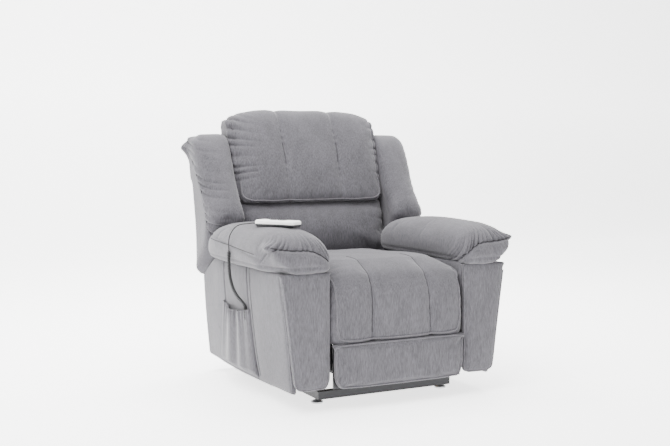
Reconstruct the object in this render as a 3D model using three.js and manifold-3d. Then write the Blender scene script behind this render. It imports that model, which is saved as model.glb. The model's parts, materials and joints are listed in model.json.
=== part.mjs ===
// Lift recliner chair: a floor base, a lift linkage, a carrier with the seat and arms, a
// reclining back and a folding footrest. Millimetres, +Z up, the chair faces -Y. The origin
// is the middle of the floor plan. "right" is the sitter's right, which is the -X side.
import * as THREE from "three";
import { RoundedBoxGeometry } from "three/addons/geometries/RoundedBoxGeometry.js";
import { mergeVertices } from "three/addons/utils/BufferGeometryUtils.js";
import Module from "manifold-3d";

const wasm = await Module();
wasm.setup();

// ---- driving dimensions ----------------------------------------------------------------
const DEPTH = 910; // front of the seat roll to the back of the rear cover
const ARM_SPAN = 972; // across the arm pads
const SEAT_WIDTH = 524; // between the arms
const SEAT_TOP = 484; // top of the seat cushion at its crown
const ARM_TOP = 620; // top of the arm pads
const PILLOW_TOP = 1048; // top of the head pillow
const PANEL_BOTTOM = 66; // lowest edge of the upholstered panels
const GAP = 0.4; // between pieces that touch
const SLACK = 6; // between soft pieces

const FRONT = -DEPTH / 2;
const REAR = DEPTH / 2;
const HALF_SEAT = SEAT_WIDTH / 2;
const HALF_SPAN = ARM_SPAN / 2;

// base: rectangular steel tube on four levelling feet
const PLATE_X = HALF_SEAT - 30; // inner face of a carrier side plate
const FOOT_X = PLATE_X + 24;
const FOOT_FRONT_Y = FRONT + 147;
const FOOT_REAR_Y = REAR - 143;
const FOOT_RADIUS = 22;
const FOOT_PUCK = 12;
const RAIL_W = 30;
const RAIL_Z = [22, 50];
const CROSS_FRONT_Y = FRONT + 120;
const CROSS_REAR_Y = REAR - 105;

// lift linkage: arms from the base front to the carrier rear, and a pair of stabilisers
const LIFT_PIVOT = [FRONT + 170, 84];
const CARRIER_PIVOT = [REAR - 312, 99];
const STAB_BASE = [FRONT + 177.3, 98.8];
const STAB_CARRIER = [REAR - 285, 125];
const CRANK = [FRONT + 255, 132]; // lift tube, which the lift actuator pushes
const LIFT_X = PLATE_X - 104; // inner face of a lift arm
const BAR = 8; // thickness of a lift bar
const BAR_SPACE = 3; // washer space between bars
const PIN_R = 6;
const PIN_SLACK = 0.5;
const LIFT_ACT_BASE = [REAR - 139, 70];
const LIFT_ACT_SHOWN = 119.7115; // from the body's open end to the far pivot
const LIFT_ACT_GAP = 12; // the rod's open end stays this far from the lift tube

// carrier: stamped side plates and cross members
const PLATE = 6;
const CARRIER_CROSS = [REAR - 385, 205];
const TUBE_R = 8;
const PLATE_Z = [128, 226];
const DECK_Z = [308, 320];
const DECK_REAR = REAR - 245;
const SEAT_REAR = REAR - 240; // rear of the seat cushion

// back
const RECLINE_PIVOT = [REAR - 155, 230];
const REC_ACT_CARRIER = [REAR - 351.5, 204.6];
const REC_ACT_BACK = [REAR - 95, 120];
const REC_ACT_X = LIFT_X - 38;
const REC_ACT_SHOWN = 80.0915;
const REC_ACT_GAP = 5;
const BACK_FOOT = [REAR - 110, 380]; // lower rear edge of the rear cover
const BACK_TOP_Z = 965;
const COVER = 14;
const BACK_FRAME = 64;
const PILLOW_HALF = HALF_SEAT + 60;
const LUMBAR_HALF = HALF_SEAT + 38;

// footrest linkage
const FR_REAR = [FRONT + 205, 285];
const FR_FRONT = [FRONT + 150.7, 288];
const FR_ELBOW = [FRONT + 345, 110];
const FR_BOARD = [FRONT + 40, 190];
const FR_BRACE = [FRONT + 285, 110]; // where the front link meets the long link
const FR_BRACE_GAP = 3.2;
const LINK_X = PLATE_X - 46; // inner face of the rear link
const LINK = 6;
const LINK_R = 10;
const FOOTREST_Z = [72, 229];
const FOOTREST_DEPTH = 40;
const FOOTREST_BOARD = 8;

// arms: panels lean outwards towards the top
const PANEL = 20;
const ARM_PANEL_TOP = 478;
const ARM_FOOT_X = HALF_SPAN - 84; // outer face of the outer panel at its lower edge
const ARM_FLARE = 0.112; // outward lean, per millimetre of height
const ARM_FRONT_Y = FRONT + 17;
const ARM_REAR_Y = REAR - 60;
const PAD_REAR_Y = REAR - 290;
const PAD_RADIUS = 60;
const REAR_RAKE = 53 / 334; // the arm's rear edge comes forward with height
const VALANCE_TOP = 210;
const KICK = 12; // the arm's lower edge rises at both ends
const POCKET = { y: [FRONT + 307, REAR - 247], z: [82, 322], depth: 24, wall: 4, inset: 86 };
const PAD_BOTTOM = ARM_PANEL_TOP + GAP;

// wings: Y-Z outline from the foot up the rear edge, over the crest and down the front
const WING_X = [PILLOW_HALF + 10, HALF_SPAN - 2];
const WING_FOOT = [REAR - 103, 404];
const WING_BENDS = [700, 860]; // heights where the rear edge turns
const WING_CREST = [[REAR, 890], [REAR - 23, 934], [REAR - 55, 962], [REAR - 105, 956]];
const WING_BROW = [[REAR - 149, 930], [REAR - 193, 820], [REAR - 235, 740]];

// cushions of the back: how far they stand in front of the timber
const LUMBAR_DEPTH = [92, 104, 88]; // at its foot, its crown and its top
const LUMBAR_CROWN_Z = 590;
const PILLOW_DEPTH = [60, 110, 104, 88]; // lower edge, lower bulge, middle and upper bulge
const PILLOW_BULGE_Z = [740, 900];
const LUMBAR_TOP = 672;

// handset and its cord
const HANDSET = { x: 71 - HALF_SPAN, y: [FRONT + 119, FRONT + 285], w: 56, h: 24 };
const HANDSET_TURN = Math.PI / 6; // about the middle of its rear end, front end inwards
const CORD_D = 4;
const CURL_D = 14;

const SIDES = [["right", -1], ["left", 1]];

// ---- materials -------------------------------------------------------------------------
const material = (color, roughness, metalness) =>
  new THREE.MeshStandardMaterial({ color, roughness, metalness });
const fabric = material(0x8f8f8d, 0.9, 0);
const cover = material(0x7d7d7b, 0.95, 0);
const steel = material(0x26272a, 0.5, 0.6);
const zinc = material(0xb9bcc0, 0.35, 0.9);
const wood = material(0xb08d62, 0.7, 0);
const blackPlastic = material(0x17181a, 0.5, 0);
const whitePlastic = material(0xe4e4e0, 0.45, 0);
const rubber = material(0x1c1c1d, 0.85, 0);

const chair = new THREE.Group();

// ---- helpers ---------------------------------------------------------------------------
function add(name, geometry, mat) {
  const mesh = new THREE.Mesh(geometry, mat);
  mesh.name = name;
  chair.add(mesh);
  return mesh;
}

// Closed solids as booleans and back
function solid(geometry) {
  const plain = new THREE.BufferGeometry();
  plain.setAttribute("position", geometry.getAttribute("position").clone());
  if (geometry.index) plain.setIndex(geometry.index.clone());
  const merged = mergeVertices(plain, 1e-3);
  return new wasm.Manifold(new wasm.Mesh({
    numProp: 3,
    vertProperties: new Float32Array(merged.getAttribute("position").array),
    triVerts: new Uint32Array(merged.index.array),
  }));
}

function geometryOf(manifold) {
  const mesh = manifold.getMesh();
  const geometry = new THREE.BufferGeometry();
  geometry.setAttribute("position", new THREE.BufferAttribute(mesh.vertProperties, 3));
  geometry.setIndex(new THREE.BufferAttribute(mesh.triVerts, 1));
  geometry.computeVertexNormals();
  return geometry;
}

const join = (...parts) => geometryOf(parts.map(solid).reduce((a, b) => a.add(b)));
const cut = (body, ...tools) => geometryOf(tools.map(solid).reduce((a, b) => a.subtract(b), solid(body)));

function block(x0, x1, y0, y1, z0, z1) {
  const geometry = new THREE.BoxGeometry(Math.abs(x1 - x0), y1 - y0, z1 - z0);
  return geometry.translate((x0 + x1) / 2, (y0 + y1) / 2, (z0 + z1) / 2);
}

function softBlock(x0, x1, y0, y1, z0, z1, radius, segments = 3) {
  const geometry = new RoundedBoxGeometry(Math.abs(x1 - x0), y1 - y0, z1 - z0, segments, radius);
  return geometry.translate((x0 + x1) / 2, (y0 + y1) / 2, (z0 + z1) / 2);
}

// A cylinder along X
function rodX([y, z], radius, x0, x1, sides = 20) {
  const geometry = new THREE.CylinderGeometry(radius, radius, Math.abs(x1 - x0), sides);
  return geometry.rotateZ(Math.PI / 2).translate((x0 + x1) / 2, y, z);
}

// An outline in the Y-Z plane, extruded along X
function plate(shape, x0, x1, curveSegments = 8) {
  const lo = Math.min(x0, x1);
  const geometry = new THREE.ExtrudeGeometry(shape, {
    depth: Math.abs(x1 - x0), bevelEnabled: false, curveSegments,
  });
  const swap = new THREE.Matrix4().set(0, 0, 1, lo, 1, 0, 0, 0, 0, 1, 0, 0, 0, 0, 0, 1);
  return geometry.applyMatrix4(swap);
}

function polygon(points) {
  return new THREE.Shape(points.map(([y, z]) => new THREE.Vector2(y, z)));
}

function hole(shape, [y, z], radius) {
  const path = new THREE.Path();
  path.absarc(y, z, radius, 0, 2 * Math.PI, true);
  shape.holes.push(path);
  return shape;
}

// A bar with round ends between two pivots
function bar(a, b, radius) {
  const lean = Math.atan2(b[1] - a[1], b[0] - a[0]);
  const shape = new THREE.Shape();
  shape.absarc(a[0], a[1], radius, lean + Math.PI / 2, lean + 1.5 * Math.PI, false);
  shape.absarc(b[0], b[1], radius, lean - Math.PI / 2, lean + Math.PI / 2, false);
  return shape;
}

// Leans a geometry outwards: x grows with height above z0
function flare(geometry, sx, z0, slope) {
  const lean = new THREE.Matrix4().set(
    1, 0, sx * slope, -sx * slope * z0, 0, 1, 0, 0, 0, 0, 1, 0, 0, 0, 0, 1);
  return geometry.applyMatrix4(lean);
}

// A telescopic actuator from a to b: a bored body with its motor, and a rod. s runs along it.
function actuator(name, a, b, x, shown, rodEnd, stroke, gap) {
  const reach = Math.hypot(b[0] - a[0], b[1] - a[1]);
  const bodyEnd = reach - shown;
  const lean = Math.atan2(b[1] - a[1], b[0] - a[0]);
  const place = (geometry) => geometry.rotateX(lean).translate(x, a[0], a[1]);
  const bore = 10;
  const collar = 24;
  const tubeR = 20;
  const eyeHalf = 10;
  const bottom = bodyEnd - rodEnd;
  const profile = [[0, 18], [collar, 18], [collar, 60], [tubeR, 70], [tubeR, bodyEnd], [bore + PIN_SLACK, bodyEnd],
    [bore + PIN_SLACK, bottom], [0, bottom]].map(([r, s]) => new THREE.Vector2(r, s));
  const tube = new THREE.LatheGeometry(profile, 20);
  const eye = rodX([0, 0], 2 * PIN_R, -eyeHalf, eyeHalf);
  const neck = block(-8, 8, 4, collar, -eyeHalf, eyeHalf);
  const motor = block(-22, 22, 30, 110, 18, 62);
  const pinHole = rodX([0, 0], PIN_R + GAP, -eyeHalf - 2, eyeHalf + 2);
  add(`${name}_body`, place(cut(join(tube, eye, neck, motor), pinHole)), blackPlastic);
  const rodStart = bottom + Math.max(0, -stroke) + 8;
  const rod = new THREE.CylinderGeometry(bore, bore, reach - gap - rodStart, 20)
    .translate(0, (reach - gap + rodStart) / 2, 0);
  add(`${name}_rod`, place(rod), zinc);
}

// ---- base ------------------------------------------------------------------------------
const inMiddle = LIFT_X + BAR + BAR_SPACE; // inner face of the brackets, between arm and stabiliser
const inOuter = inMiddle + BAR + BAR_SPACE; // inner face of a stabiliser

// A bracket in the middle plane with an inward and an outward pin
function pinnedBracket(outline, sx, armPin, stabiliserPin) {
  return join(
    plate(outline, sx * inMiddle, sx * (inMiddle + BAR)),
    rodX(armPin, PIN_R, sx * (LIFT_X - 1), sx * (inMiddle + 1)),
    rodX(stabiliserPin, PIN_R, sx * (inMiddle + BAR - 1), sx * (inOuter + BAR + 1)));
}

function makeBase() {
  const half = RAIL_W / 2;
  const inner = FOOT_X - half;
  const footTop = RAIL_Z[0] - GAP;
  const profile = [[0, 0], [FOOT_RADIUS - 2, 0], [FOOT_RADIUS, 2], [FOOT_RADIUS, FOOT_PUCK - 3],
    [FOOT_RADIUS - 3, FOOT_PUCK], [7, FOOT_PUCK], [7, footTop], [0, footTop]];
  const seatY = CROSS_FRONT_Y + half - 4;
  const bracket = polygon([[seatY, RAIL_Z[0]], [LIFT_PIVOT[0] + 22, RAIL_Z[0]],
    [STAB_BASE[0] + 16, STAB_BASE[1] - 10], [STAB_BASE[0] + 12, STAB_BASE[1] + 12],
    [LIFT_PIVOT[0] - 14, STAB_BASE[1] + 12], [seatY, LIFT_PIVOT[1] - 10]]);
  for (const [side, sx] of SIDES) {
    const rail = block(sx * inner, sx * (inner + RAIL_W), CROSS_FRONT_Y - half, CROSS_REAR_Y + half, ...RAIL_Z);
    add(`base_rail_${side}`, rail, steel);
    for (const [end, y] of [["front", FOOT_FRONT_Y], ["rear", FOOT_REAR_Y]]) {
      const foot = new THREE.LatheGeometry(profile.map(([r, z]) => new THREE.Vector2(r, z)), 24);
      add(`levelling_foot_${end}_${side}`, foot.rotateX(Math.PI / 2).translate(sx * FOOT_X, y, 0), zinc);
    }
  }
  const crossTube = (y) => block(-inner + GAP, inner - GAP, y - half, y + half, ...RAIL_Z);
  const brackets = SIDES.map(([, sx]) => pinnedBracket(bracket, sx, LIFT_PIVOT, STAB_BASE));
  add("base_front_cross_tube", join(crossTube(CROSS_FRONT_Y), ...brackets), steel);
  const clevis = plate(bar([CROSS_REAR_Y - half + 4, RAIL_Z[1] - 8], LIFT_ACT_BASE, 9), 13, 13 + PLATE);
  const twin = plate(bar([CROSS_REAR_Y - half + 4, RAIL_Z[1] - 8], LIFT_ACT_BASE, 9), -13 - PLATE, -13);
  const pin = rodX(LIFT_ACT_BASE, PIN_R, -14, 14);
  add("base_rear_cross_tube", join(crossTube(CROSS_REAR_Y), clevis, twin, pin), steel);
}

// ---- lift linkage ----------------------------------------------------------------------
function makeLift() {
  for (const [side, sx] of SIDES) {
    const arm = bar(LIFT_PIVOT, CARRIER_PIVOT, 17);
    hole(hole(arm, LIFT_PIVOT, PIN_R + PIN_SLACK), CARRIER_PIVOT, PIN_R + PIN_SLACK);
    const crank = bar([CRANK[0], CRANK[1] - 30], CRANK, 14);
    const [x0, x1] = [sx * LIFT_X, sx * (LIFT_X + BAR)];
    add(`lift_arm_${side}`, join(plate(arm, x0, x1), plate(crank, x0, x1)), steel);
    const stabiliser = bar(STAB_BASE, STAB_CARRIER, 12);
    hole(hole(stabiliser, STAB_BASE, PIN_R + PIN_SLACK), STAB_CARRIER, PIN_R + 2 * PIN_SLACK);
    add(`stabiliser_link_${side}`, plate(stabiliser, sx * inOuter, sx * (inOuter + BAR)), steel);
  }
  add("lift_tube", rodX(CRANK, 15, -LIFT_X + GAP, LIFT_X - GAP, 24), steel);
  actuator("lift_actuator", LIFT_ACT_BASE, CRANK, 0, LIFT_ACT_SHOWN, 180, 70, 15 + LIFT_ACT_GAP);
}

// ---- carrier ---------------------------------------------------------------------------
function makeCarrier() {
  const [low, high] = PLATE_Z;
  const front = FRONT + FOOTREST_DEPTH + 35;
  const rear = RECLINE_PIVOT[0] + 24;
  const towerTop = FR_FRONT[1] + 16;
  const [crossY, crossZ] = CARRIER_CROSS;
  const half = RAIL_W / 2;
  for (const [side, sx] of SIDES) {
    const outline = polygon([[front, low], [rear, low], [rear, RECLINE_PIVOT[1] + 22],
      [RECLINE_PIVOT[0] - 24, RECLINE_PIVOT[1] + 22], [RECLINE_PIVOT[0] - 50, high],
      [FR_REAR[0] + 60, high], [FR_REAR[0] + 24, towerTop], [front, towerTop]]);
    for (const pivot of [RECLINE_PIVOT, FR_REAR, FR_FRONT]) hole(outline, pivot, TUBE_R + PIN_SLACK);
    add(`carrier_side_plate_${side}`, plate(outline, sx * PLATE_X, sx * (PLATE_X + PLATE)), steel);
  }
  const weld = crossY + half - 4;
  const drop = polygon([[CARRIER_PIVOT[0] - 16, CARRIER_PIVOT[1] - 14],
    [CARRIER_PIVOT[0] + 12, CARRIER_PIVOT[1] - 14], [STAB_CARRIER[0] + 14, STAB_CARRIER[1] - 4],
    [STAB_CARRIER[0] + 14, STAB_CARRIER[1] + 14], [weld + 34, crossZ + half], [weld, crossZ + half],
    [weld, crossZ - half]]);
  const crossTube = block(-PLATE_X + GAP, PLATE_X - GAP, crossY - half, crossY + half,
    crossZ - half, crossZ + half);
  const drops = SIDES.map(([, sx]) => pinnedBracket(drop, sx, CARRIER_PIVOT, STAB_CARRIER));
  const lugs = [1, -1].map((end) => {
    const x = REC_ACT_X + end * 13;
    return plate(bar([weld - 3, crossZ], REC_ACT_CARRIER, 9), x, x + end * PLATE);
  });
  const lugPin = rodX(REC_ACT_CARRIER, PIN_R, REC_ACT_X - 14, REC_ACT_X + 14);
  add("carrier_cross_tube", join(crossTube, ...drops, ...lugs, lugPin), steel);
  for (const [name, pivot] of [["footrest_rear_shaft", FR_REAR], ["footrest_front_shaft", FR_FRONT]]) {
    add(name, rodX(pivot, TUBE_R, -PLATE_X - PLATE - 4, PLATE_X + PLATE + 4), steel);
  }
  add("seat_deck", block(-HALF_SEAT + 4, HALF_SEAT - 4, FRONT + 62, DECK_REAR, ...DECK_Z), wood);
  // the seat pad runs over the front edge and hangs down as an apron
  const apron = FOOTREST_Z[1] + SLACK;
  const pad = new THREE.Shape();
  pad.moveTo(FRONT + 58, DECK_Z[1] + GAP);
  pad.lineTo(FRONT + 58, apron + 8);
  pad.quadraticCurveTo(FRONT + 50, apron, FRONT + 20, apron);
  pad.quadraticCurveTo(FRONT, apron, FRONT, apron + 30);
  pad.lineTo(FRONT, SEAT_TOP - 90);
  pad.quadraticCurveTo(FRONT, SEAT_TOP - 4, FRONT + 90, SEAT_TOP);
  pad.lineTo(SEAT_REAR - 20, SEAT_TOP - 14);
  pad.quadraticCurveTo(SEAT_REAR, SEAT_TOP - 16, SEAT_REAR, SEAT_TOP - 40);
  pad.lineTo(SEAT_REAR, DECK_Z[1] + GAP);
  add("seat_cushion", plate(pad, -HALF_SEAT + 3, HALF_SEAT - 3), fabric);
  const [boxOuter, boxRear] = [PLATE_X - 6, REAR - 195];
  const box = block(-boxOuter, 64 - boxOuter, boxRear - 140, boxRear, PLATE_Z[0] + 10, PLATE_Z[0] + 70);
  add("power_box", box, blackPlastic);
  add("power_inlet", block(19 - boxOuter, 45 - boxOuter, boxRear + GAP, boxRear + 16, PLATE_Z[0] + 28,
    PLATE_Z[0] + 48), blackPlastic);
}

// ---- arms ------------------------------------------------------------------------------
function makeArms() {
  const top = ARM_PANEL_TOP;
  const rearAt = (z) => ARM_REAR_Y - (z - PANEL_BOTTOM) * REAR_RAKE;
  const valanceLow = PANEL_BOTTOM + KICK;
  const valance = polygon([[rearAt(valanceLow) - 8, valanceLow], [rearAt(valanceLow), valanceLow],
    [rearAt(VALANCE_TOP), VALANCE_TOP], [rearAt(VALANCE_TOP) - 8, VALANCE_TOP]]);
  const valanceHalf = ARM_FOOT_X - PANEL - 1;
  add("rear_valance", plate(valance, -valanceHalf, valanceHalf), cover);
  const outline = polygon([[ARM_FRONT_Y + PANEL + GAP, PANEL_BOTTOM], [FRONT + 365, PANEL_BOTTOM - KICK],
    [REAR - 335, PANEL_BOTTOM - KICK], [ARM_REAR_Y, PANEL_BOTTOM], [rearAt(400), 400],
    [PAD_REAR_Y + 30, top], [ARM_FRONT_Y + PANEL + GAP, top]]);
  for (const [side, sx] of SIDES) {
    const lean = (geometry) => flare(geometry, sx, PANEL_BOTTOM, ARM_FLARE);
    const inner = HALF_SEAT + SLACK;
    add(`arm_outer_panel_${side}`, lean(plate(outline, sx * (ARM_FOOT_X - PANEL), sx * ARM_FOOT_X)), fabric);
    const innerOutline = polygon([[ARM_FRONT_Y + PANEL + GAP, PANEL_BOTTOM + KICK], [ARM_REAR_Y - 30, PANEL_BOTTOM + KICK],
      [rearAt(386) - 26, 386], [PAD_REAR_Y + 20, top], [ARM_FRONT_Y + PANEL + GAP, top]]);
    add(`arm_inner_panel_${side}`, plate(innerOutline, sx * inner, sx * (inner + PANEL)), fabric);
    const reach = ARM_FOOT_X + (top - PANEL_BOTTOM) * ARM_FLARE;
    const face = new THREE.Shape();
    face.moveTo(sx * inner, PANEL_BOTTOM + KICK);
    face.lineTo(sx * (ARM_FOOT_X - 14), PANEL_BOTTOM + KICK);
    face.quadraticCurveTo(sx * (ARM_FOOT_X + 2), PANEL_BOTTOM + KICK, sx * (ARM_FOOT_X + 4), PANEL_BOTTOM + 30);
    face.lineTo(sx * reach, top);
    face.lineTo(sx * inner, top);
    const front = new THREE.ExtrudeGeometry(face, { depth: PANEL, bevelEnabled: false, curveSegments: 5 })
      .rotateX(Math.PI / 2).translate(0, ARM_FRONT_Y + PANEL, 0);
    add(`arm_front_panel_${side}`, front, fabric);
    const pad = softBlock(sx * (inner - 4), sx * HALF_SPAN, FRONT + 2, PAD_REAR_Y, PAD_BOTTOM, ARM_TOP, PAD_RADIUS, 5);
    add(`arm_pad_${side}`, pad, fabric);
  }
}

// ---- pocket on the right arm -----------------------------------------------------------
function makePocket() {
  const { y: [front, rear], z: [bottom, mouth], depth, wall, inset } = POCKET;
  const panelAt = (z) => ARM_FOOT_X + (z - PANEL_BOTTOM) * ARM_FLARE;
  const back = panelAt(mouth) + GAP;
  const outline = (shrink, top) => polygon([[front + shrink, bottom + shrink], [rear - shrink, bottom + shrink],
    [rear - shrink - inset, top], [front + shrink, top]]);
  const outer = back + depth + wall;
  const bag = cut(
    flareTo(plate(outline(0, mouth), -outer, -back), panelAt, back),
    plate(outline(wall, mouth + 10), -(outer - wall), -(back + 1)));
  add("side_pocket", bag, fabric);
}

// Pulls the inner face of the pocket onto the leaning panel; its outer face stays upright
function flareTo(geometry, panelAt, back) {
  const position = geometry.getAttribute("position");
  for (let i = 0; i < position.count; i++) {
    if (Math.abs(position.getX(i)) - back < 1) position.setX(i, -(panelAt(position.getZ(i)) + GAP));
  }
  return geometry;
}

// ---- back ------------------------------------------------------------------------------
function makeBack() {
  const [footY, footZ] = BACK_FOOT;
  const lean = (REAR - footY) / (BACK_TOP_Z - footZ);
  const rearAt = (z) => footY + lean * (z - footZ);
  const slab = (back, thick, z0, z1) => polygon([[rearAt(z0) - back, z0], [rearAt(z1) - back, z1],
    [rearAt(z1) - back - thick, z1], [rearAt(z0) - back - thick, z0]]);
  const frontAt = (z) => rearAt(z) - COVER - BACK_FRAME - 2 * GAP;
  add("back_rear_cover", plate(slab(0, COVER, footZ, BACK_TOP_Z), -PILLOW_HALF, PILLOW_HALF), cover);
  const frameX = LUMBAR_HALF - 44;
  add("back_frame", plate(slab(COVER + GAP, BACK_FRAME, footZ - 40, BACK_TOP_Z - 10), -frameX, frameX), wood);
  // hinge plates from the recline pivot to the frame
  const z = footZ - 42;
  for (const [side, sx] of SIDES) {
    const hinge = bar(RECLINE_PIVOT, [rearAt(z) - COVER - BACK_FRAME / 2, z - 22], 20);
    const x = PLATE_X - PLATE - BAR_SPACE;
    add(`recline_hinge_${side}`, join(plate(hinge, sx * x, sx * (x + PLATE)),
      rodX(RECLINE_PIVOT, TUBE_R, sx * (x + 1), sx * (PLATE_X + PLATE + 4))), steel);
  }
  const lever = bar([rearAt(z) - COVER - BACK_FRAME / 2, z - 22], REC_ACT_BACK, 14);
  add("recline_lever", join(
    plate(lever, REC_ACT_X + 16, REC_ACT_X + 16 + PLATE),
    rodX(REC_ACT_BACK, PIN_R, REC_ACT_X - 14, REC_ACT_X + 17)), steel);
  actuator("recline_actuator", REC_ACT_CARRIER, REC_ACT_BACK, REC_ACT_X, REC_ACT_SHOWN, 150, -70, PIN_R + REC_ACT_GAP);
  // lumbar cushion between seat and pillow
  const foot = SEAT_TOP + 2;
  const lumbar = polygon([[frontAt(foot), foot], [frontAt(LUMBAR_TOP), LUMBAR_TOP],
    [frontAt(LUMBAR_TOP) - LUMBAR_DEPTH[2], LUMBAR_TOP], [frontAt(LUMBAR_TOP) - LUMBAR_DEPTH[1], LUMBAR_CROWN_Z],
    [frontAt(foot) - LUMBAR_DEPTH[0], foot]]);
  add("lumbar_cushion", plate(lumbar, -LUMBAR_HALF, LUMBAR_HALF), fabric);
  // head pillow, which folds over the top of the frame
  const low = LUMBAR_TOP + SLACK;
  const [edge, lowBulge, middle, highBulge] = PILLOW_DEPTH;
  const [lowZ, highZ] = PILLOW_BULGE_Z;
  const over = BACK_TOP_Z + SLACK;
  const pillow = new THREE.Shape();
  pillow.moveTo(frontAt(low) - 1, low);
  pillow.lineTo(frontAt(over) - 1, over);
  pillow.lineTo(REAR - 6, over);
  pillow.quadraticCurveTo(REAR - 2, PILLOW_TOP - 6, frontAt(over) + 10, PILLOW_TOP);
  pillow.quadraticCurveTo(frontAt(over) - edge, PILLOW_TOP - 8, frontAt(highZ) - highBulge, highZ);
  pillow.lineTo(frontAt(lowZ) - middle, lowZ);
  pillow.quadraticCurveTo(frontAt(low) - lowBulge, low, frontAt(low) - edge, low);
  add("head_pillow", plate(pillow, -PILLOW_HALF, PILLOW_HALF), fabric);
  // wings
  const wing = new THREE.Shape();
  wing.moveTo(...WING_FOOT);
  wing.lineTo(rearAt(WING_BENDS[0]) - 8, WING_BENDS[0]);
  wing.lineTo(rearAt(WING_BENDS[1]) - 12, WING_BENDS[1]);
  wing.quadraticCurveTo(...WING_CREST[0], ...WING_CREST[1]);
  wing.quadraticCurveTo(...WING_CREST[2], ...WING_CREST[3]);
  wing.quadraticCurveTo(...WING_BROW[0], ...WING_BROW[1]);
  wing.quadraticCurveTo(...WING_BROW[2], PAD_REAR_Y - 12, ARM_TOP + 28);
  wing.lineTo(PAD_REAR_Y - 16, ARM_TOP + SLACK);
  wing.lineTo(PAD_REAR_Y + 12, ARM_TOP - 60);
  wing.lineTo(PAD_REAR_Y + 40, ARM_PANEL_TOP + 14);
  for (const [side, sx] of SIDES) {
    add(`wing_${side}`, plate(wing, sx * WING_X[0], sx * WING_X[1]), fabric);
  }
}

// ---- footrest --------------------------------------------------------------------------
function makeFootrest() {
  const step = LINK + 2;
  const pin = 5;
  const along = (FR_BRACE[0] - FR_ELBOW[0]) / (FR_BOARD[0] - FR_ELBOW[0]);
  const onLong = [FR_BRACE[0], FR_ELBOW[1] + along * (FR_BOARD[1] - FR_ELBOW[1])];
  for (const [side, sx] of SIDES) {
    const rear = bar(FR_REAR, FR_ELBOW, LINK_R + 2);
    hole(rear, FR_REAR, TUBE_R + PIN_SLACK);
    add(`footrest_rear_link_${side}`, join(
      plate(rear, sx * LINK_X, sx * (LINK_X + LINK)),
      rodX(FR_ELBOW, pin, sx * (LINK_X - step), sx * (LINK_X + 1))), steel);
    const long = bar(FR_ELBOW, FR_BOARD, LINK_R);
    hole(hole(long, FR_ELBOW, pin + PIN_SLACK), FR_BOARD, pin + PIN_SLACK);
    add(`footrest_long_link_${side}`, join(
      plate(long, sx * (LINK_X - step), sx * (LINK_X - step + LINK)),
      plate(bar(FR_BRACE, onLong, LINK_R - 1), sx * (LINK_X - step), sx * (LINK_X - step + LINK)),
      rodX(FR_BRACE, pin - 1, sx * (LINK_X - 2 * step), sx * (LINK_X - step + 1))), steel);
    const brace = bar(FR_FRONT, FR_BRACE, LINK_R + 2);
    hole(hole(brace, FR_FRONT, TUBE_R + PIN_SLACK), FR_BRACE, pin - 1 + FR_BRACE_GAP);
    add(`footrest_brace_${side}`, plate(brace, sx * (LINK_X - 2 * step), sx * (LINK_X - 2 * step + LINK)), steel);
  }
  const boardBack = FR_BOARD[0] - LINK_R - 4;
  const boardFront = boardBack - FOOTREST_BOARD;
  const [y, z] = FR_BOARD;
  const lug = polygon([[boardBack - 3, z + 26], [boardBack - 3, z - 40], [boardBack + 5, z - 40],
    [y + 12, z - 9], [y + 12, z + 9], [boardBack + 5, z + 26]]);
  const lugs = SIDES.flatMap(([, sx]) => [plate(lug, sx * LINK_X, sx * (LINK_X + LINK)),
    rodX(FR_BOARD, pin, sx * (LINK_X - step), sx * (LINK_X + 3))]);
  const board = block(-HALF_SEAT + 6, HALF_SEAT - 6, boardFront, boardBack, FOOTREST_Z[0] + 4, FOOTREST_Z[1] - 6);
  add("footrest_board", join(board, ...lugs), steel);
  add("footrest_pad", softBlock(-HALF_SEAT + 2, HALF_SEAT - 2, FRONT, boardFront - GAP, ...FOOTREST_Z, 11), fabric);
}

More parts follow.
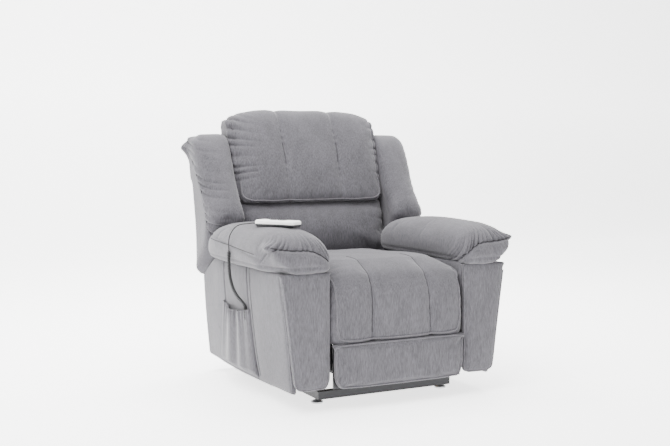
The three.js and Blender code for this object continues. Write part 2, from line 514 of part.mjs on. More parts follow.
// ---- handset and its cord --------------------------------------------------------------
function makeHandset() {
  const { x, y: [front, rear], w, h } = HANDSET;
  const z = ARM_TOP + GAP;
  const mid = z + h * 0.42;
  const turn = (geometry) => geometry.translate(-x, -rear, 0).rotateZ(HANDSET_TURN).translate(x, rear, 0);
  const lower = softBlock(x - w / 2, x + w / 2, front, rear, z, z + h, 9);
  const upper = softBlock(x - w / 2, x + w / 2, front, rear, z, z + h, 9);
  const far = 200;
  const above = block(x - far, x + far, front - far, rear + far, mid, z + far);
  const below = block(x - far, x + far, front - far, rear + far, z - far, mid + GAP);
  const wells = [];
  const length = rear - front;
  const buttonY = [front + length * 0.38, front + length * 0.6];
  const size = { x: 13, y: 11, z: 4 };
  for (const y of buttonY) {
    wells.push(block(x - size.x - GAP, x + size.x + GAP, y - size.y - GAP, y + size.y + GAP, z + h - size.z, z + far));
  }
  add("handset_lower_shell", turn(cut(lower, above)), blackPlastic);
  add("handset_upper_shell", turn(cut(upper, below, ...wells)), whitePlastic);
  for (const [name, y] of [["down", buttonY[0]], ["up", buttonY[1]]]) {
    add(`handset_button_${name}`, turn(block(x - size.x, x + size.x, y - size.y, y + size.y,
      z + h - size.z + 2, z + h + 1.6)), blackPlastic);
  }
  // strain relief at the rear end, then the straight lead, then the curly cord
  const exit = [x, rear, z + h * 0.4];
  const relief = new THREE.CylinderGeometry(3.6, 5.4, 20, 16).translate(0, 10 + GAP, 0);
  add("handset_strain_relief", turn(relief.translate(...exit)), blackPlastic);
  const from = (points) => points.map(([dx, dy, dz]) => [x + dx, rear + dy, exit[2] + dz]);
  const lead = from([[-10.4, 18, 0], [-16, 27.7, -1], [-24, 41, -3], [-33, 55, -5], [-43, 68, -8], [-53, 78, -14],
    [-62, 84, -24], [-70, 86, -36], [-77, 87, -52], [-80.5, 86, -74], [-81, 84, -98]]);
  const curl = from([[-81, 84, -98.6], [-82, 82, -140], [-80, 79, -190], [-71, 74, -233], [-55, 69, -266],
    [-39, 65, -285], [-30, 62, -300], [-28.5, 59, -321], [-28, 57, -349]]);
  add("handset_lead", cord(lead, CORD_D / 2, 8, 16), rubber);
  add("handset_curly_cord", cord(curl, CURL_D / 2, 10, 16), rubber);
}

function cord(points, radius, sides, steps) {
  const path = new THREE.CatmullRomCurve3(points.map((p) => new THREE.Vector3(...p)));
  const section = new THREE.Shape();
  section.absarc(0, 0, radius, 0, 2 * Math.PI, false);
  return new THREE.ExtrudeGeometry(section, { steps, curveSegments: sides, extrudePath: path, bevelEnabled: false });
}

makeBase();
makeLift();
makeCarrier();
makeArms();
makePocket();
makeBack();
makeFootrest();
makeHandset();

export default chair;
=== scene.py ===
"""Lift recliner chair: upholstery, cord, feet and finishes around the fixed mechanical frame."""

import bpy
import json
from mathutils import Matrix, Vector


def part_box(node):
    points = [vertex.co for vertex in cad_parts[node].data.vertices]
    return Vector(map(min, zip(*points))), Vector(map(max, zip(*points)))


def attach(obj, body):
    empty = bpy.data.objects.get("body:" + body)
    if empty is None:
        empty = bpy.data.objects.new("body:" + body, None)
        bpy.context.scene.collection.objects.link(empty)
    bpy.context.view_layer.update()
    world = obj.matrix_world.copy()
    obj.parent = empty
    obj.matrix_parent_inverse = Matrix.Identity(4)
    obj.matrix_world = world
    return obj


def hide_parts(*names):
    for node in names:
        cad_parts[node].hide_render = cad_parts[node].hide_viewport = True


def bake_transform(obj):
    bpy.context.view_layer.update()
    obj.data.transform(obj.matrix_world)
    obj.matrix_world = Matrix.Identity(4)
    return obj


bl_info = {
    "name": "Lift recliner chair",
    "version": (1, 0, 0),
    "blender": (4, 5, 0),
    "location": "View3D > Sidebar > Chair",
    "description": "Builds the upholstery and finishes of a lift recliner chair on its frame",
    "category": "Object",
}

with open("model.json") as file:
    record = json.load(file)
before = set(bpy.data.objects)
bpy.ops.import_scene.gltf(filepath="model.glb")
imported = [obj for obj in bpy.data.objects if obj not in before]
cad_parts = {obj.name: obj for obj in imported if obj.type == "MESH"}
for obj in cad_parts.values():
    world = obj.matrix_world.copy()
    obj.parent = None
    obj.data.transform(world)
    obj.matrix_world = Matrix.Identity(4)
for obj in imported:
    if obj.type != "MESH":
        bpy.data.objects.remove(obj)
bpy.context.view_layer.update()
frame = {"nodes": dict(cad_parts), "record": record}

import json
import math

import bpy
import numpy as np
from mathutils import Vector
from mathutils.bvhtree import BVHTree

NODES = frame["nodes"]
SIDES = (("right", -1), ("left", 1))


def corners(node):
    """Lowest and highest corner of a node, as two plain arrays."""
    low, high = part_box(node)
    return np.array(low), np.array(high)


SEAT_LOW, SEAT_HIGH = corners("seat_cushion")
PILLOW_LOW, PILLOW_HIGH = corners("head_pillow")
LUMBAR_LOW, LUMBAR_HIGH = corners("lumbar_cushion")
WING_LOW, WING_HIGH = corners("wing_left")
PAD_LOW, PAD_HIGH = corners("arm_pad_left")
OUTER_LOW, OUTER_HIGH = corners("arm_outer_panel_left")
INNER_LOW, INNER_HIGH = corners("arm_inner_panel_left")
FACE_LOW, FACE_HIGH = corners("arm_front_panel_left")
REST_LOW, REST_HIGH = corners("footrest_pad")
COVER_LOW, COVER_HIGH = corners("back_rear_cover")
POCKET_LOW, POCKET_HIGH = corners("side_pocket")
VALANCE_LOW, VALANCE_HIGH = corners("rear_valance")
COVER_THICK = 0.014
COVER_LEAN = (COVER_HIGH[1] - COVER_THICK - COVER_LOW[1]) / (COVER_HIGH[2] - COVER_LOW[2])
BACK_DEPTH = 0.0788  # rear cover and timber together
FLARE = 0.112  # outward lean of the arm panels
PANEL_FOOT = 0.066  # height where that lean starts
# radius of the near-black line painted as shade in a seam's groove
PANEL_THICK = 0.020
SEAM_SHADE_RADIUS = 0.0013  # radius of a row of stitching
VIEW_FROM = (-1.81, -3.474, 0.887)
VIEW_AT = (-0.0113, 0.0302, 0.6046)
CORD_EXIT = (-0.415, -0.170, 0.6300)  # rear end of the handset before it was turned
FILL_FRAMES = 20


# ---- settings --------------------------------------------------------------------------
class ChairFabric(bpy.types.PropertyGroup):
    shade: bpy.props.FloatVectorProperty(
        name="Cloth shade", description="Middle colour of the brushed cloth",
        subtype="COLOR", size=3, default=(0.073, 0.0700, 0.0785))
    contrast: bpy.props.FloatProperty(
        name="Slub contrast", description="How far the threads differ from the middle colour",
        default=0.48, min=0.0, max=1.0, subtype="FACTOR")
    piping: bpy.props.FloatProperty(
        name="Piping", description="Radius of the piping cord", default=0.0032, unit="LENGTH")


class ChairPadding(bpy.types.PropertyGroup):
    voxel: bpy.props.FloatProperty(
        name="Cell", description="Mesh cell of a cushion before it is filled",
        default=0.0075, unit="LENGTH")
    pressure: bpy.props.FloatProperty(
        name="Pressure", description="Filling pressure of a cushion", default=4.0)
    swell: bpy.props.FloatProperty(
        name="Swell", description="Most that a cushion grows when it is filled",
        default=0.022, unit="LENGTH")


class ChairCord(bpy.types.PropertyGroup):
    thickness: bpy.props.FloatProperty(
        name="Cord", description="Diameter of the handset cord", default=0.004, unit="LENGTH")
    curl: bpy.props.FloatProperty(
        name="Curl", description="Outer diameter of the curly stretch", default=0.0138, unit="LENGTH")
    pitch: bpy.props.FloatProperty(
        name="Pitch", description="Distance between two turns of the curl", default=0.0056, unit="LENGTH")


class ChairStudio(bpy.types.PropertyGroup):
    lens: bpy.props.FloatProperty(name="Lens", description="Focal length", default=54.8)
    key: bpy.props.FloatProperty(
        name="Key light", description="Power of the large side light", default=300.0, unit="POWER")
    fill: bpy.props.FloatProperty(
        name="Fill light", description="Power of the front light", default=50.0, unit="POWER")
    top: bpy.props.FloatProperty(
        name="Top light", description="Power of the overhead light", default=260.0, unit="POWER")


def settings():
    return bpy.context.scene.chair_fabric, bpy.context.scene.chair_padding


# ---- shader helpers --------------------------------------------------------------------
class Value:
    """A shader socket on which arithmetic adds Math nodes."""

    def __init__(self, finish, socket):
        self.finish = finish
        self.socket = socket

    def math(self, operation, *others):
        slots = {i: value for i, value in enumerate((self, *others))}
        return self.finish.add("ShaderNodeMath", {"operation": operation}, slots)

    def __add__(self, other):
        return self.math("ADD", other)

    def __mul__(self, other):
        return self.math("MULTIPLY", other)

    def __sub__(self, other):
        return self.math("SUBTRACT", other)

    def __rsub__(self, other):
        return self.finish.add("ShaderNodeMath", {"operation": "SUBTRACT"}, {0: other, 1: self})

    def __pow__(self, other):
        return self.math("POWER", other)

    __radd__ = __add__
    __rmul__ = __mul__

    def clamp(self):
        return self.finish.add("ShaderNodeClamp", {}, {"Value": self})


class Finish:
    """A material with a Principled shader and a short way to add nodes."""

    def __init__(self, name, **base):
        self.material = bpy.data.materials.new(name)
        self.material.use_nodes = True
        self.tree = self.material.node_tree
        self.shader = self.tree.nodes["Principled BSDF"]
        for socket, value in base.items():
            self.shader.inputs[socket.replace("_", " ")].default_value = value

    def add(self, kind, options=None, sockets=None, output=0):
        node = self.tree.nodes.new(kind)
        for key, value in (options or {}).items():
            if key == "stops":
                self.ramp(node, value)
            else:
                setattr(node, key, value)
        for key, value in (sockets or {}).items():
            self.feed(node.inputs[key], value)
        return Value(self, node.outputs[output])

    def ramp(self, node, stops):
        elements = node.color_ramp.elements
        while len(elements) < len(stops):
            elements.new(0.5)
        for element, (place, shade) in zip(elements, stops):
            element.position = place
            element.color = (*shade, 1.0)

    def feed(self, socket, value):
        if isinstance(value, Value):
            self.tree.links.new(value.socket, socket)
        else:
            socket.default_value = value

    def place(self, scale=(1, 1, 1)):
        """Object coordinates, stretched by a scale for each axis."""
        spot = self.add("ShaderNodeTexCoord", output=3)
        return self.add("ShaderNodeVectorMath", {"operation": "MULTIPLY"}, {0: spot, 1: scale})

    def noise(self, scale, detail=2.0, rough=0.5):
        return self.add("ShaderNodeTexNoise", {}, {
            "Vector": self.place(scale), "Scale": 1.0, "Detail": detail, "Roughness": rough})

    def blend(self, low, high, factor):
        return self.add("ShaderNodeMix", {"data_type": "RGBA"}, {0: factor, 6: low, 7: high}, output=2)

    def bump(self, height, depth, strength=1.0):
        normal = self.add("ShaderNodeBump", {}, {
            "Height": height, "Distance": depth, "Strength": strength})
        self.set(Normal=normal)

    def set(self, **sockets):
        for socket, value in sockets.items():
            self.feed(self.shader.inputs[socket.replace("_", " ")], value)
        return self.material


def tone(shade, factor):
    return (shade[0] * factor, shade[1] * factor, shade[2] * factor, 1.0)


def brushed_cloth(name, brightness=1.0, coarse=1.0):
    """Grey chenille: short threads along the drop of the cloth, with darker and lighter slubs."""
    fabric, _ = settings()
    shade, contrast = fabric.shade, fabric.contrast
    finish = Finish(name, Sheen_Weight=0.24, Sheen_Roughness=0.45, Specular_IOR_Level=0.25)
    upright = finish.noise((330 * coarse, 330 * coarse, 46 * coarse), 3.0, 0.65)
    lying = finish.noise((330 * coarse, 46 * coarse, 330 * coarse), 3.0, 0.65)
    facing = finish.add("ShaderNodeTexCoord", output=1)
    split = finish.add("ShaderNodeSeparateXYZ", {}, {"Vector": facing}, output=2)
    level = (split.math("ABSOLUTE") * 1.6 - 0.5).clamp()
    threads = upright * (1 - level) + lying * level
    fine = finish.noise((900, 900, 900), 1.0, 0.5)
    cloud = finish.noise((7, 7, 5), 3.0, 0.6)
    patch = finish.noise((38, 38, 16), 2.0, 0.6)
    mix = (threads - 0.5) * 1.9 + (fine - 0.5) * 0.5 + (cloud - 0.5) * 0.5 + (patch - 0.5) * 0.45
    amount = (mix + 0.5).clamp()
    colour = finish.blend(
        tone(shade, brightness * (1 - contrast)), tone(shade, brightness * (1 + contrast)), amount)
    finish.bump(threads * 0.7 + fine * 0.5, 0.0011, 0.55)
    return finish.set(Base_Color=colour, Roughness=0.82 + amount * 0.14)


def painted_steel(name, shade=(0.018, 0.018, 0.02)):
    finish = Finish(name, Specular_IOR_Level=0.5)
    peel = finish.noise((260, 260, 260), 2.0)
    scuff = (finish.noise((30, 9, 30), 4.0, 0.7) * 3.2 - 1.9).clamp()
    colour = finish.blend(tone(shade, 1.0), tone(shade, 3.2), scuff)
    finish.bump(peel, 0.0006, 0.35)
    return finish.set(Base_Color=colour, Roughness=0.34 + scuff * 0.3, Metallic=0.55 + scuff * 0.1)


def plated_steel(name):
    finish = Finish(name, Specular_IOR_Level=0.5)
    grain = finish.noise((60, 900, 900), 3.0, 0.6)
    haze = finish.noise((25, 25, 25), 2.0)
    colour = finish.blend((0.5, 0.51, 0.53, 1), (0.72, 0.72, 0.72, 1), grain * 0.6 + haze * 0.4)
    finish.bump(grain, 0.0003, 0.3)
    return finish.set(Base_Color=colour, Roughness=0.2 + haze * 0.22, Metallic=0.95)


def frame_timber(name):
    finish = Finish(name, Specular_IOR_Level=0.3)
    ring = finish.noise((9, 60, 60), 4.0, 0.6)
    pore = finish.noise((40, 700, 700), 2.0)
    mix = (ring * 1.5 - 0.3 + pore * 0.25).clamp()
    colour = finish.blend((0.42, 0.27, 0.13, 1), (0.66, 0.49, 0.29, 1), mix)
    finish.bump(pore + ring * 0.5, 0.0006, 0.4)
    return finish.set(Base_Color=colour, Roughness=0.6 + pore * 0.2)


def moulded_plastic(name, shade, roughness=0.42):
    finish = Finish(name, Specular_IOR_Level=0.5)
    spark = finish.noise((1500, 1500, 1500), 1.0)
    wear = finish.noise((45, 45, 45), 3.0)
    colour = finish.blend(tone(shade, 0.88), tone(shade, 1.1), wear)
    finish.bump(spark, 0.0003, 0.3)
    return finish.set(Base_Color=colour, Roughness=roughness - 0.06 + wear * 0.14)


def cord_rubber(name):
    finish = Finish(name, Specular_IOR_Level=0.45)
    dust = finish.noise((160, 160, 160), 3.0)
    colour = finish.blend((0.008, 0.008, 0.009, 1), (0.022, 0.022, 0.023, 1), dust)
    finish.bump(dust, 0.0004, 0.3)
    return finish.set(Base_Color=colour, Roughness=0.45 + dust * 0.2)


def lining_and_gap_shade_cloth(name):
    """Thin black cloth of the rear curtain; on the back's timber frame it is painted shade in the gaps
    around the back.
    """
    finish = Finish(name, Sheen_Weight=0.15, Specular_IOR_Level=0.2)
    thread = finish.noise((700, 700, 700), 1.0)
    cloud = finish.noise((12, 12, 12), 3.0)
    colour = finish.blend((0.035, 0.035, 0.037, 1), (0.075, 0.075, 0.078, 1), thread * 0.6 + cloud * 0.4)
    finish.bump(thread, 0.0008, 0.5)
    return finish.set(Base_Color=colour, Roughness=0.85 + cloud * 0.1)


def studio_floor(name):
    finish = Finish(name, Specular_IOR_Level=0.1, Emission_Color=(1, 1, 1, 1), Emission_Strength=2.4)
    cloud = finish.noise((0.9, 0.9, 0.9), 2.0)
    colour = finish.blend((0.90, 0.90, 0.895, 1), (0.93, 0.93, 0.925, 1), cloud)
    return finish.set(Base_Color=colour, Roughness=0.85)


MADE = {}


def finish_of(kind):
    """The material of a kind, made once."""
    makers = {
        "cloth": lambda: brushed_cloth("cloth"),
        # piping is the same cloth made 1.2 times brighter: a painted highlight along the raised cord
        "piping": lambda: brushed_cloth("piping_highlight_cloth", 1.2, 1.4),
        # near-black line laid in each seam: painted shade of the seam's groove
        "seam": lambda: moulded_plastic("seam_groove_shade", (0.020, 0.019, 0.022), 0.9),
        "rear": lambda: brushed_cloth("rear_cloth", 0.9),
        "lining": lambda: lining_and_gap_shade_cloth("lining"),
        "steel": lambda: painted_steel("black_steel"),
        "zinc": lambda: plated_steel("zinc_steel"),
        "wood": lambda: frame_timber("frame_wood"),
        "black": lambda: moulded_plastic("black_plastic", (0.02, 0.02, 0.022)),
        "white": lambda: moulded_plastic("white_plastic", (0.86, 0.86, 0.84), 0.3),
        "cord": lambda: cord_rubber("cord_rubber"),
    }
    if kind not in MADE:
        MADE[kind] = makers[kind]()
    return MADE[kind]


# ---- mesh helpers ----------------------------------------------------------------------
def new_piece(name, verts, faces, kind):
    mesh = bpy.data.meshes.new(name)
    mesh.from_pydata([tuple(v) for v in verts], [], [tuple(f) for f in faces])
    mesh.validate()
    mesh.materials.append(finish_of(kind))
    piece = bpy.data.objects.new(name, mesh)
    bpy.context.scene.collection.objects.link(piece)
    return piece


def apply_modifiers(piece):
    bpy.context.view_layer.update()
    graph = bpy.context.evaluated_depsgraph_get()
    mesh = bpy.data.meshes.new_from_object(piece.evaluated_get(graph))
    old = piece.data
    piece.modifiers.clear()
    piece.data = mesh
    bpy.data.meshes.remove(old)


def smooth_shade(piece):
    piece.data.polygons.foreach_set("use_smooth", [True] * len(piece.data.polygons))
    piece.data.update()


def subdivide(piece, levels=1):
    modifier = piece.modifiers.new("Fine", "SUBSURF")
    modifier.levels = levels
    modifier.render_levels = levels
    apply_modifiers(piece)


def remesh(piece, cell, smooth=3):
    modifier = piece.modifiers.new("Cells", "REMESH")
    modifier.mode = "VOXEL"
    modifier.voxel_size = cell
    if smooth:
        relax = piece.modifiers.new("Relax", "SMOOTH")
        relax.factor = 0.5
        relax.iterations = smooth
    apply_modifiers(piece)


def places(piece):
    points = np.empty(len(piece.data.vertices) * 3)
    piece.data.vertices.foreach_get("co", points)
    return points.reshape(-1, 3)


def normals(piece):
    vectors = np.empty(len(piece.data.vertices) * 3)
    piece.data.vertex_normals.foreach_get("vector", vectors)
    return vectors.reshape(-1, 3)


def put(piece, points):
    piece.data.vertices.foreach_set("co", np.asarray(points, float).ravel())
    piece.data.update()


def push(piece, amount, direction=None):
    """Moves each point by amount(points, normals) along its normal, or along a direction."""
    points, normal = places(piece), normals(piece)
    along = normal if direction is None else np.asarray(direction, float)
    put(piece, points + amount(points, normal)[:, None] * along)


def bell(distance, width):
    return np.exp(-(distance / width) ** 2)


def step(value, low, high):
    t = np.clip((value - low) / (high - low), 0, 1)
    return t * t * (3 - 2 * t)


def folds(along, pitch, seed):
    """Uneven gathers from 0 to 1 along a seam, with sharp valleys between round ridges."""
    turn = 2 * np.pi / pitch
    wander = 0.6 * np.sin(along * turn * 0.31 + seed) + 0.35 * np.sin(along * turn * 0.173 + 2.1 * seed)
    ridge = np.abs(np.sin(along * turn * 0.5 + wander))
    size = 0.75 + 0.25 * np.sin(along * turn * 0.22 + 3.7 * seed)
    return (1 - ridge) ** 1.5 * size


def smooth_loop(points, per=6, closed=True):
    """Catmull-Rom points through a list of two or three coordinates."""
    knots = np.array(points, float)
    count = len(knots)
    result = []
    spans = count if closed else count - 1
    for i in range(spans):
        if closed:
            p0, p1, p2, p3 = (knots[(i + k - 1) % count] for k in range(4))
        else:
            p0, p1, p2, p3 = (knots[min(max(i + k - 1, 0), count - 1)] for k in range(4))
        for t in np.arange(per) / per:
            result.append(0.5 * (2 * p1 + (p2 - p0) * t + (2 * p0 - 5 * p1 + 4 * p2 - p3) * t ** 2
                                 + (3 * p1 - p0 - 3 * p2 + p3) * t ** 3))
    if not closed:
        result.append(knots[-1])
    return np.array(result)


def outline_normals(loop):
    """Outward normals of a closed outline in a plane."""
    ahead = np.roll(loop, -1, 0) - np.roll(loop, 1, 0)
    out = np.stack([ahead[:, 1], -ahead[:, 0]], 1)
    out /= np.maximum(np.linalg.norm(out, axis=1), 1e-9)[:, None]
    area = 0.5 * np.sum(loop[:, 0] * np.roll(loop[:, 1], -1) - np.roll(loop[:, 0], -1) * loop[:, 1])
    return out if area > 0 else -out


def closed_bands(rows, count):
    """Faces of a closed skin over rows of points: its bands, then its two end caps."""
    faces = []
    for i in range(rows - 1):
        for j in range(count):
            k = (j + 1) % count
            faces.append((i * count + j, i * count + k, (i + 1) * count + k, (i + 1) * count + j))
    last = (rows - 1) * count
    faces.append(tuple(range(count - 1, -1, -1)))
    faces.append(tuple(range(last, last + count)))
    return faces


def ringed(stations, rings, axis):
    """A closed solid through outlines that stand at places along an axis."""
    verts = [np.insert((a, b), axis, place) for place, ring in zip(stations, rings) for a, b in ring]
    return verts, closed_bands(len(rings), len(rings[0]))


def loft(stations, section, axis=0):
    """A closed solid through a section given at each station along an axis."""
    return ringed(stations, [section(place) for place in stations], axis)


def bolster(loop, low, high, rim, axis=0, steps=5):
    """A closed solid with an outline, from low to high along an axis, with rims rounded inwards."""
    out = outline_normals(loop)
    angles = np.linspace(0, np.pi / 2, steps)
    stations = [low + rim - rim * math.sin(a) for a in angles[::-1]]
    stations += [high - rim + rim * math.sin(a) for a in angles]
    insets = [rim - rim * math.cos(a) for a in (*angles[::-1], *angles)]
    return ringed(stations, [loop - out * inset for inset in insets], axis)


def ease(count, half):
    """Stations from -half to half, closer together at both ends."""
    return half * np.sin(np.linspace(-np.pi / 2, np.pi / 2, count))


def merged(*solids):
    verts, faces = [], []
    for more_verts, more_faces in solids:
        start = len(verts)
        verts += list(more_verts)
        faces += [tuple(i + start for i in face) for face in more_faces]
    return verts, faces


def ball(centre, radii, rings=10, spokes=16):
    verts, faces = [], []
    for i in range(rings + 1):
        a = np.pi * i / rings
        for j in range(spokes):
            b = 2 * np.pi * j / spokes
            spot = (math.sin(a) * math.cos(b), math.sin(a) * math.sin(b), math.cos(a))
            verts.append(np.array(centre) + np.array(radii) * spot)
    for i in range(rings):
        for j in range(spokes):
            k = (j + 1) % spokes
            faces.append((i * spokes + j, (i + 1) * spokes + j, (i + 1) * spokes + k, i * spokes + k))
    return verts, faces


def fill_cushion(piece, held=None, swell=None):
    """Cloth simulation under pressure; held(points) is 1 where the cover is sewn or rests."""
    _, padding = settings()
    limit = padding.swell if swell is None else swell
    before = places(piece)
    pins = np.zeros(len(before)) if held is None else np.clip(held(before), 0, 1)
    group = piece.vertex_groups.new(name="sewn")
    for index in np.nonzero(pins > 0.5)[0]:
        group.add([int(index)], 1.0, "REPLACE")
    cloth = piece.modifiers.new("Filling", "CLOTH")
    rules = cloth.settings
    rules.quality = 5
    rules.mass = 0.3
    rules.use_pressure = True
    rules.uniform_pressure_force = padding.pressure
    rules.effector_weights.gravity = 0
    rules.tension_stiffness = 12
    rules.compression_stiffness = 12
    rules.shear_stiffness = 6
    rules.bending_stiffness = 0.6
    rules.vertex_group_mass = "sewn"
    cloth.collision_settings.use_collision = False
    cloth.point_cache.frame_start = 1
    cloth.point_cache.frame_end = FILL_FRAMES
    scene = bpy.context.scene
    for frame_number in range(1, FILL_FRAMES + 1):
        scene.frame_set(frame_number)
    graph = bpy.context.evaluated_depsgraph_get()
    final = piece.evaluated_get(graph).to_mesh()
    after = np.empty(len(before) * 3)
    final.vertices.foreach_get("co", after)
    piece.evaluated_get(graph).to_mesh_clear()
    piece.modifiers.clear()
    scene.frame_set(1)
    move = after.reshape(-1, 3) - before
    size = np.maximum(np.linalg.norm(move, axis=1), 1e-9)
    put(piece, before + move * (np.minimum(size, limit) / size)[:, None])


def cushion(name, solid, kind="cloth", cell=None, held=None, swell=None, relax=3):
    """A padded piece: remeshed, filled, and made finer."""
    _, padding = settings()
    piece = new_piece(name, *solid, kind)
    remesh(piece, cell or padding.voxel, relax)
    piece.data.materials.clear()
    piece.data.materials.append(finish_of(kind))
    fill_cushion(piece, held, swell)
    subdivide(piece)
    smooth_shade(piece)
    return piece


def panel(name, solid, kind, cell, smooth):
    """A flat upholstered board, remeshed so that it can be shaped."""
    piece = new_piece(name, *solid, kind)
    remesh(piece, cell, smooth)
    piece.data.materials.append(finish_of(kind))
    return piece


def edged(outline, per):
    """The corners of a closed outline with evenly spaced points between them."""
    count = len(outline)
    return np.concatenate([
        np.linspace(outline[i], outline[(i + 1) % count], per, endpoint=False) for i in range(count)])


def mirrored(piece, sx, lean=0.0):
    """Leans an arm piece outwards, puts it on its side of the chair and smooths it."""
    points = places(piece)
    points[:, 0] += lean * (points[:, 2] - PANEL_FOOT)
    points[:, 0] *= sx
    put(piece, points)
    if sx < 0:
        piece.data.flip_normals()
    smooth_shade(piece)


def surface(piece):
    mesh = piece.data
    return BVHTree.FromPolygons([v.co for v in mesh.vertices], [p.vertices for p in mesh.polygons])


def tube(name, points, radius, kind, sides=8, closed=False):
    """A round cord along a smooth line: piping cloth, or a seam's painted shade line."""
    line = np.asarray(points, float)
    count = len(line)
    if closed:
        ahead = np.roll(line, -1, 0) - np.roll(line, 1, 0)
    else:
        ahead = np.gradient(line, axis=0)
    ahead /= np.maximum(np.linalg.norm(ahead, axis=1), 1e-12)[:, None]
    verts, faces = [], []
    side = np.cross(ahead[0], (0.31, 0.22, 0.92))
    for spot, forward in zip(line, ahead):
        side = side - forward * np.dot(side, forward)
        side /= np.linalg.norm(side)
        up = np.cross(forward, side)
        for k in range(sides):
            a = 2 * np.pi * k / sides
            verts.append(spot + radius * (math.cos(a) * side + math.sin(a) * up))
    for i in range(count if closed else count - 1):
        for k in range(sides):
            m, j = (k + 1) % sides, (i + 1) % count
            faces.append((i * sides + k, i * sides + m, j * sides + m, j * sides + k))
    if not closed:
        faces.append(tuple(range(sides - 1, -1, -1)))
        faces.append(tuple(range((count - 1) * sides, count * sides)))
    piece = new_piece(name, verts, faces, kind)
    smooth_shade(piece)
    return piece


def piping(name, host, points, body, closed=False, lift=0.35, slot="upholstery", drawn=True):
    """A piping cord laid on a cushion along a route that is drawn onto its surface."""
    fabric, _ = settings()
    skin = surface(host)
    route = smooth_loop(points, 14, closed)
    laid = []
    for spot in route:
        near, normal, _, _ = skin.find_nearest(Vector(spot))
        laid.append(np.array(near + normal * fabric.piping * lift))
    laid = np.array(laid) if drawn else route
    for _ in range(3):
        middle = (np.roll(laid, 1, 0) + np.roll(laid, -1, 0)) / 2
        if not closed:
            middle[0], middle[-1] = laid[0], laid[-1]
        laid = laid * 0.5 + middle * 0.5
    piece = tube(name, laid, fabric.piping, "piping", 8, closed)
    return settle(piece, body, slot)


def seam(name, host, points, body, radius, inwards):
    """A near-black tube, painted shade of a seam's groove, sunk where lines cast inwards from the points
    meet a cushion.
    """
    skin = surface(host)
    laid = []
    for spot in smooth_loop(points, 16, False):
        hit, normal, _, _ = skin.ray_cast(Vector(spot), Vector(inwards(spot)).normalized())
        if hit is not None:
            laid.append(np.array(hit + normal * radius * 0.1))
    laid = np.array(laid)
    for _ in range(4):
        laid[1:-1] = laid[1:-1] * 0.5 + (laid[2:] + laid[:-2]) * 0.25
    return settle(tube(name, laid, radius, "seam", 6), body, "upholstery")


def settle(piece, body, slot, replaces=()):
    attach(piece, body)
    if replaces:
        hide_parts(*replaces)
    return piece


# ---- studio ----------------------------------------------------------------------------
def aim(thing, target):
    thing.rotation_mode = "QUATERNION"
    thing.rotation_quaternion = (Vector(target) - thing.location).to_track_quat("-Z", "Y")


def area_light(name, place, target, size, power, shade=(1, 1, 1)):
    lamp = bpy.data.lights.new(name, "AREA")
    lamp.shape = "RECTANGLE"
    lamp.size, lamp.size_y = size
    lamp.energy = power
    lamp.color = shade
    thing = bpy.data.objects.new(name, lamp)
    bpy.context.scene.collection.objects.link(thing)
    thing.location = place
    aim(thing, target)


class ChairStage(bpy.types.Operator):
    """Camera, soft lights and a pale sweep"""
    bl_idname = "chair.stage"
    bl_label = "Studio"

    def execute(self, context):
        studio = context.scene.chair_studio
        camera = bpy.data.cameras.new("view")
        camera.lens = studio.lens
        viewer = bpy.data.objects.new("view", camera)
        context.scene.collection.objects.link(viewer)
        viewer.location = VIEW_FROM
        aim(viewer, VIEW_AT)
        context.scene.camera = viewer
        middle = (0, 0, 0.5)
        area_light("key", (-2.5, -1.5, 3.5), middle, (2.6, 2.6), studio.key)
        area_light("fill", (1.2, -4.2, 1.6), middle, (3.0, 2.4), studio.fill)
        area_light("top", (0.2, 0.4, 3.4), middle, (3.4, 3.0), studio.top)
        area_light("sweep", (0.5, 1.2, 3.2), (0.3, 4.2, 0.8), (4.0, 1.6), studio.top * 1.2)
        world = bpy.data.worlds.new("studio")
        world.use_nodes = True
        world.node_tree.nodes["Background"].inputs["Color"].default_value = (1, 1, 1, 1)
        world.node_tree.nodes["Background"].inputs["Strength"].default_value = 0.60
        context.scene.world = world
        self.sweep()
        return {"FINISHED"}

    def sweep(self):
        """A floor that curves up into a backdrop."""
        bend, wide, rear = 1.4, 9.0, 4.2
        angles = np.linspace(0, math.pi / 2, 24)
        arc = [(rear + bend * math.sin(a), bend - bend * math.cos(a)) for a in angles]
        line = [(-6.0, 0.0), *arc, (rear + bend, 6.0)]
        verts = [(x, y, z) for y, z in line for x in (-wide, wide)]
        faces = [(2 * i, 2 * i + 1, 2 * i + 3, 2 * i + 2) for i in range(len(line) - 1)]
        MADE["floor"] = studio_floor("studio_floor")
        floor = new_piece("studio_sweep", verts, faces, "floor")
        smooth_shade(floor)


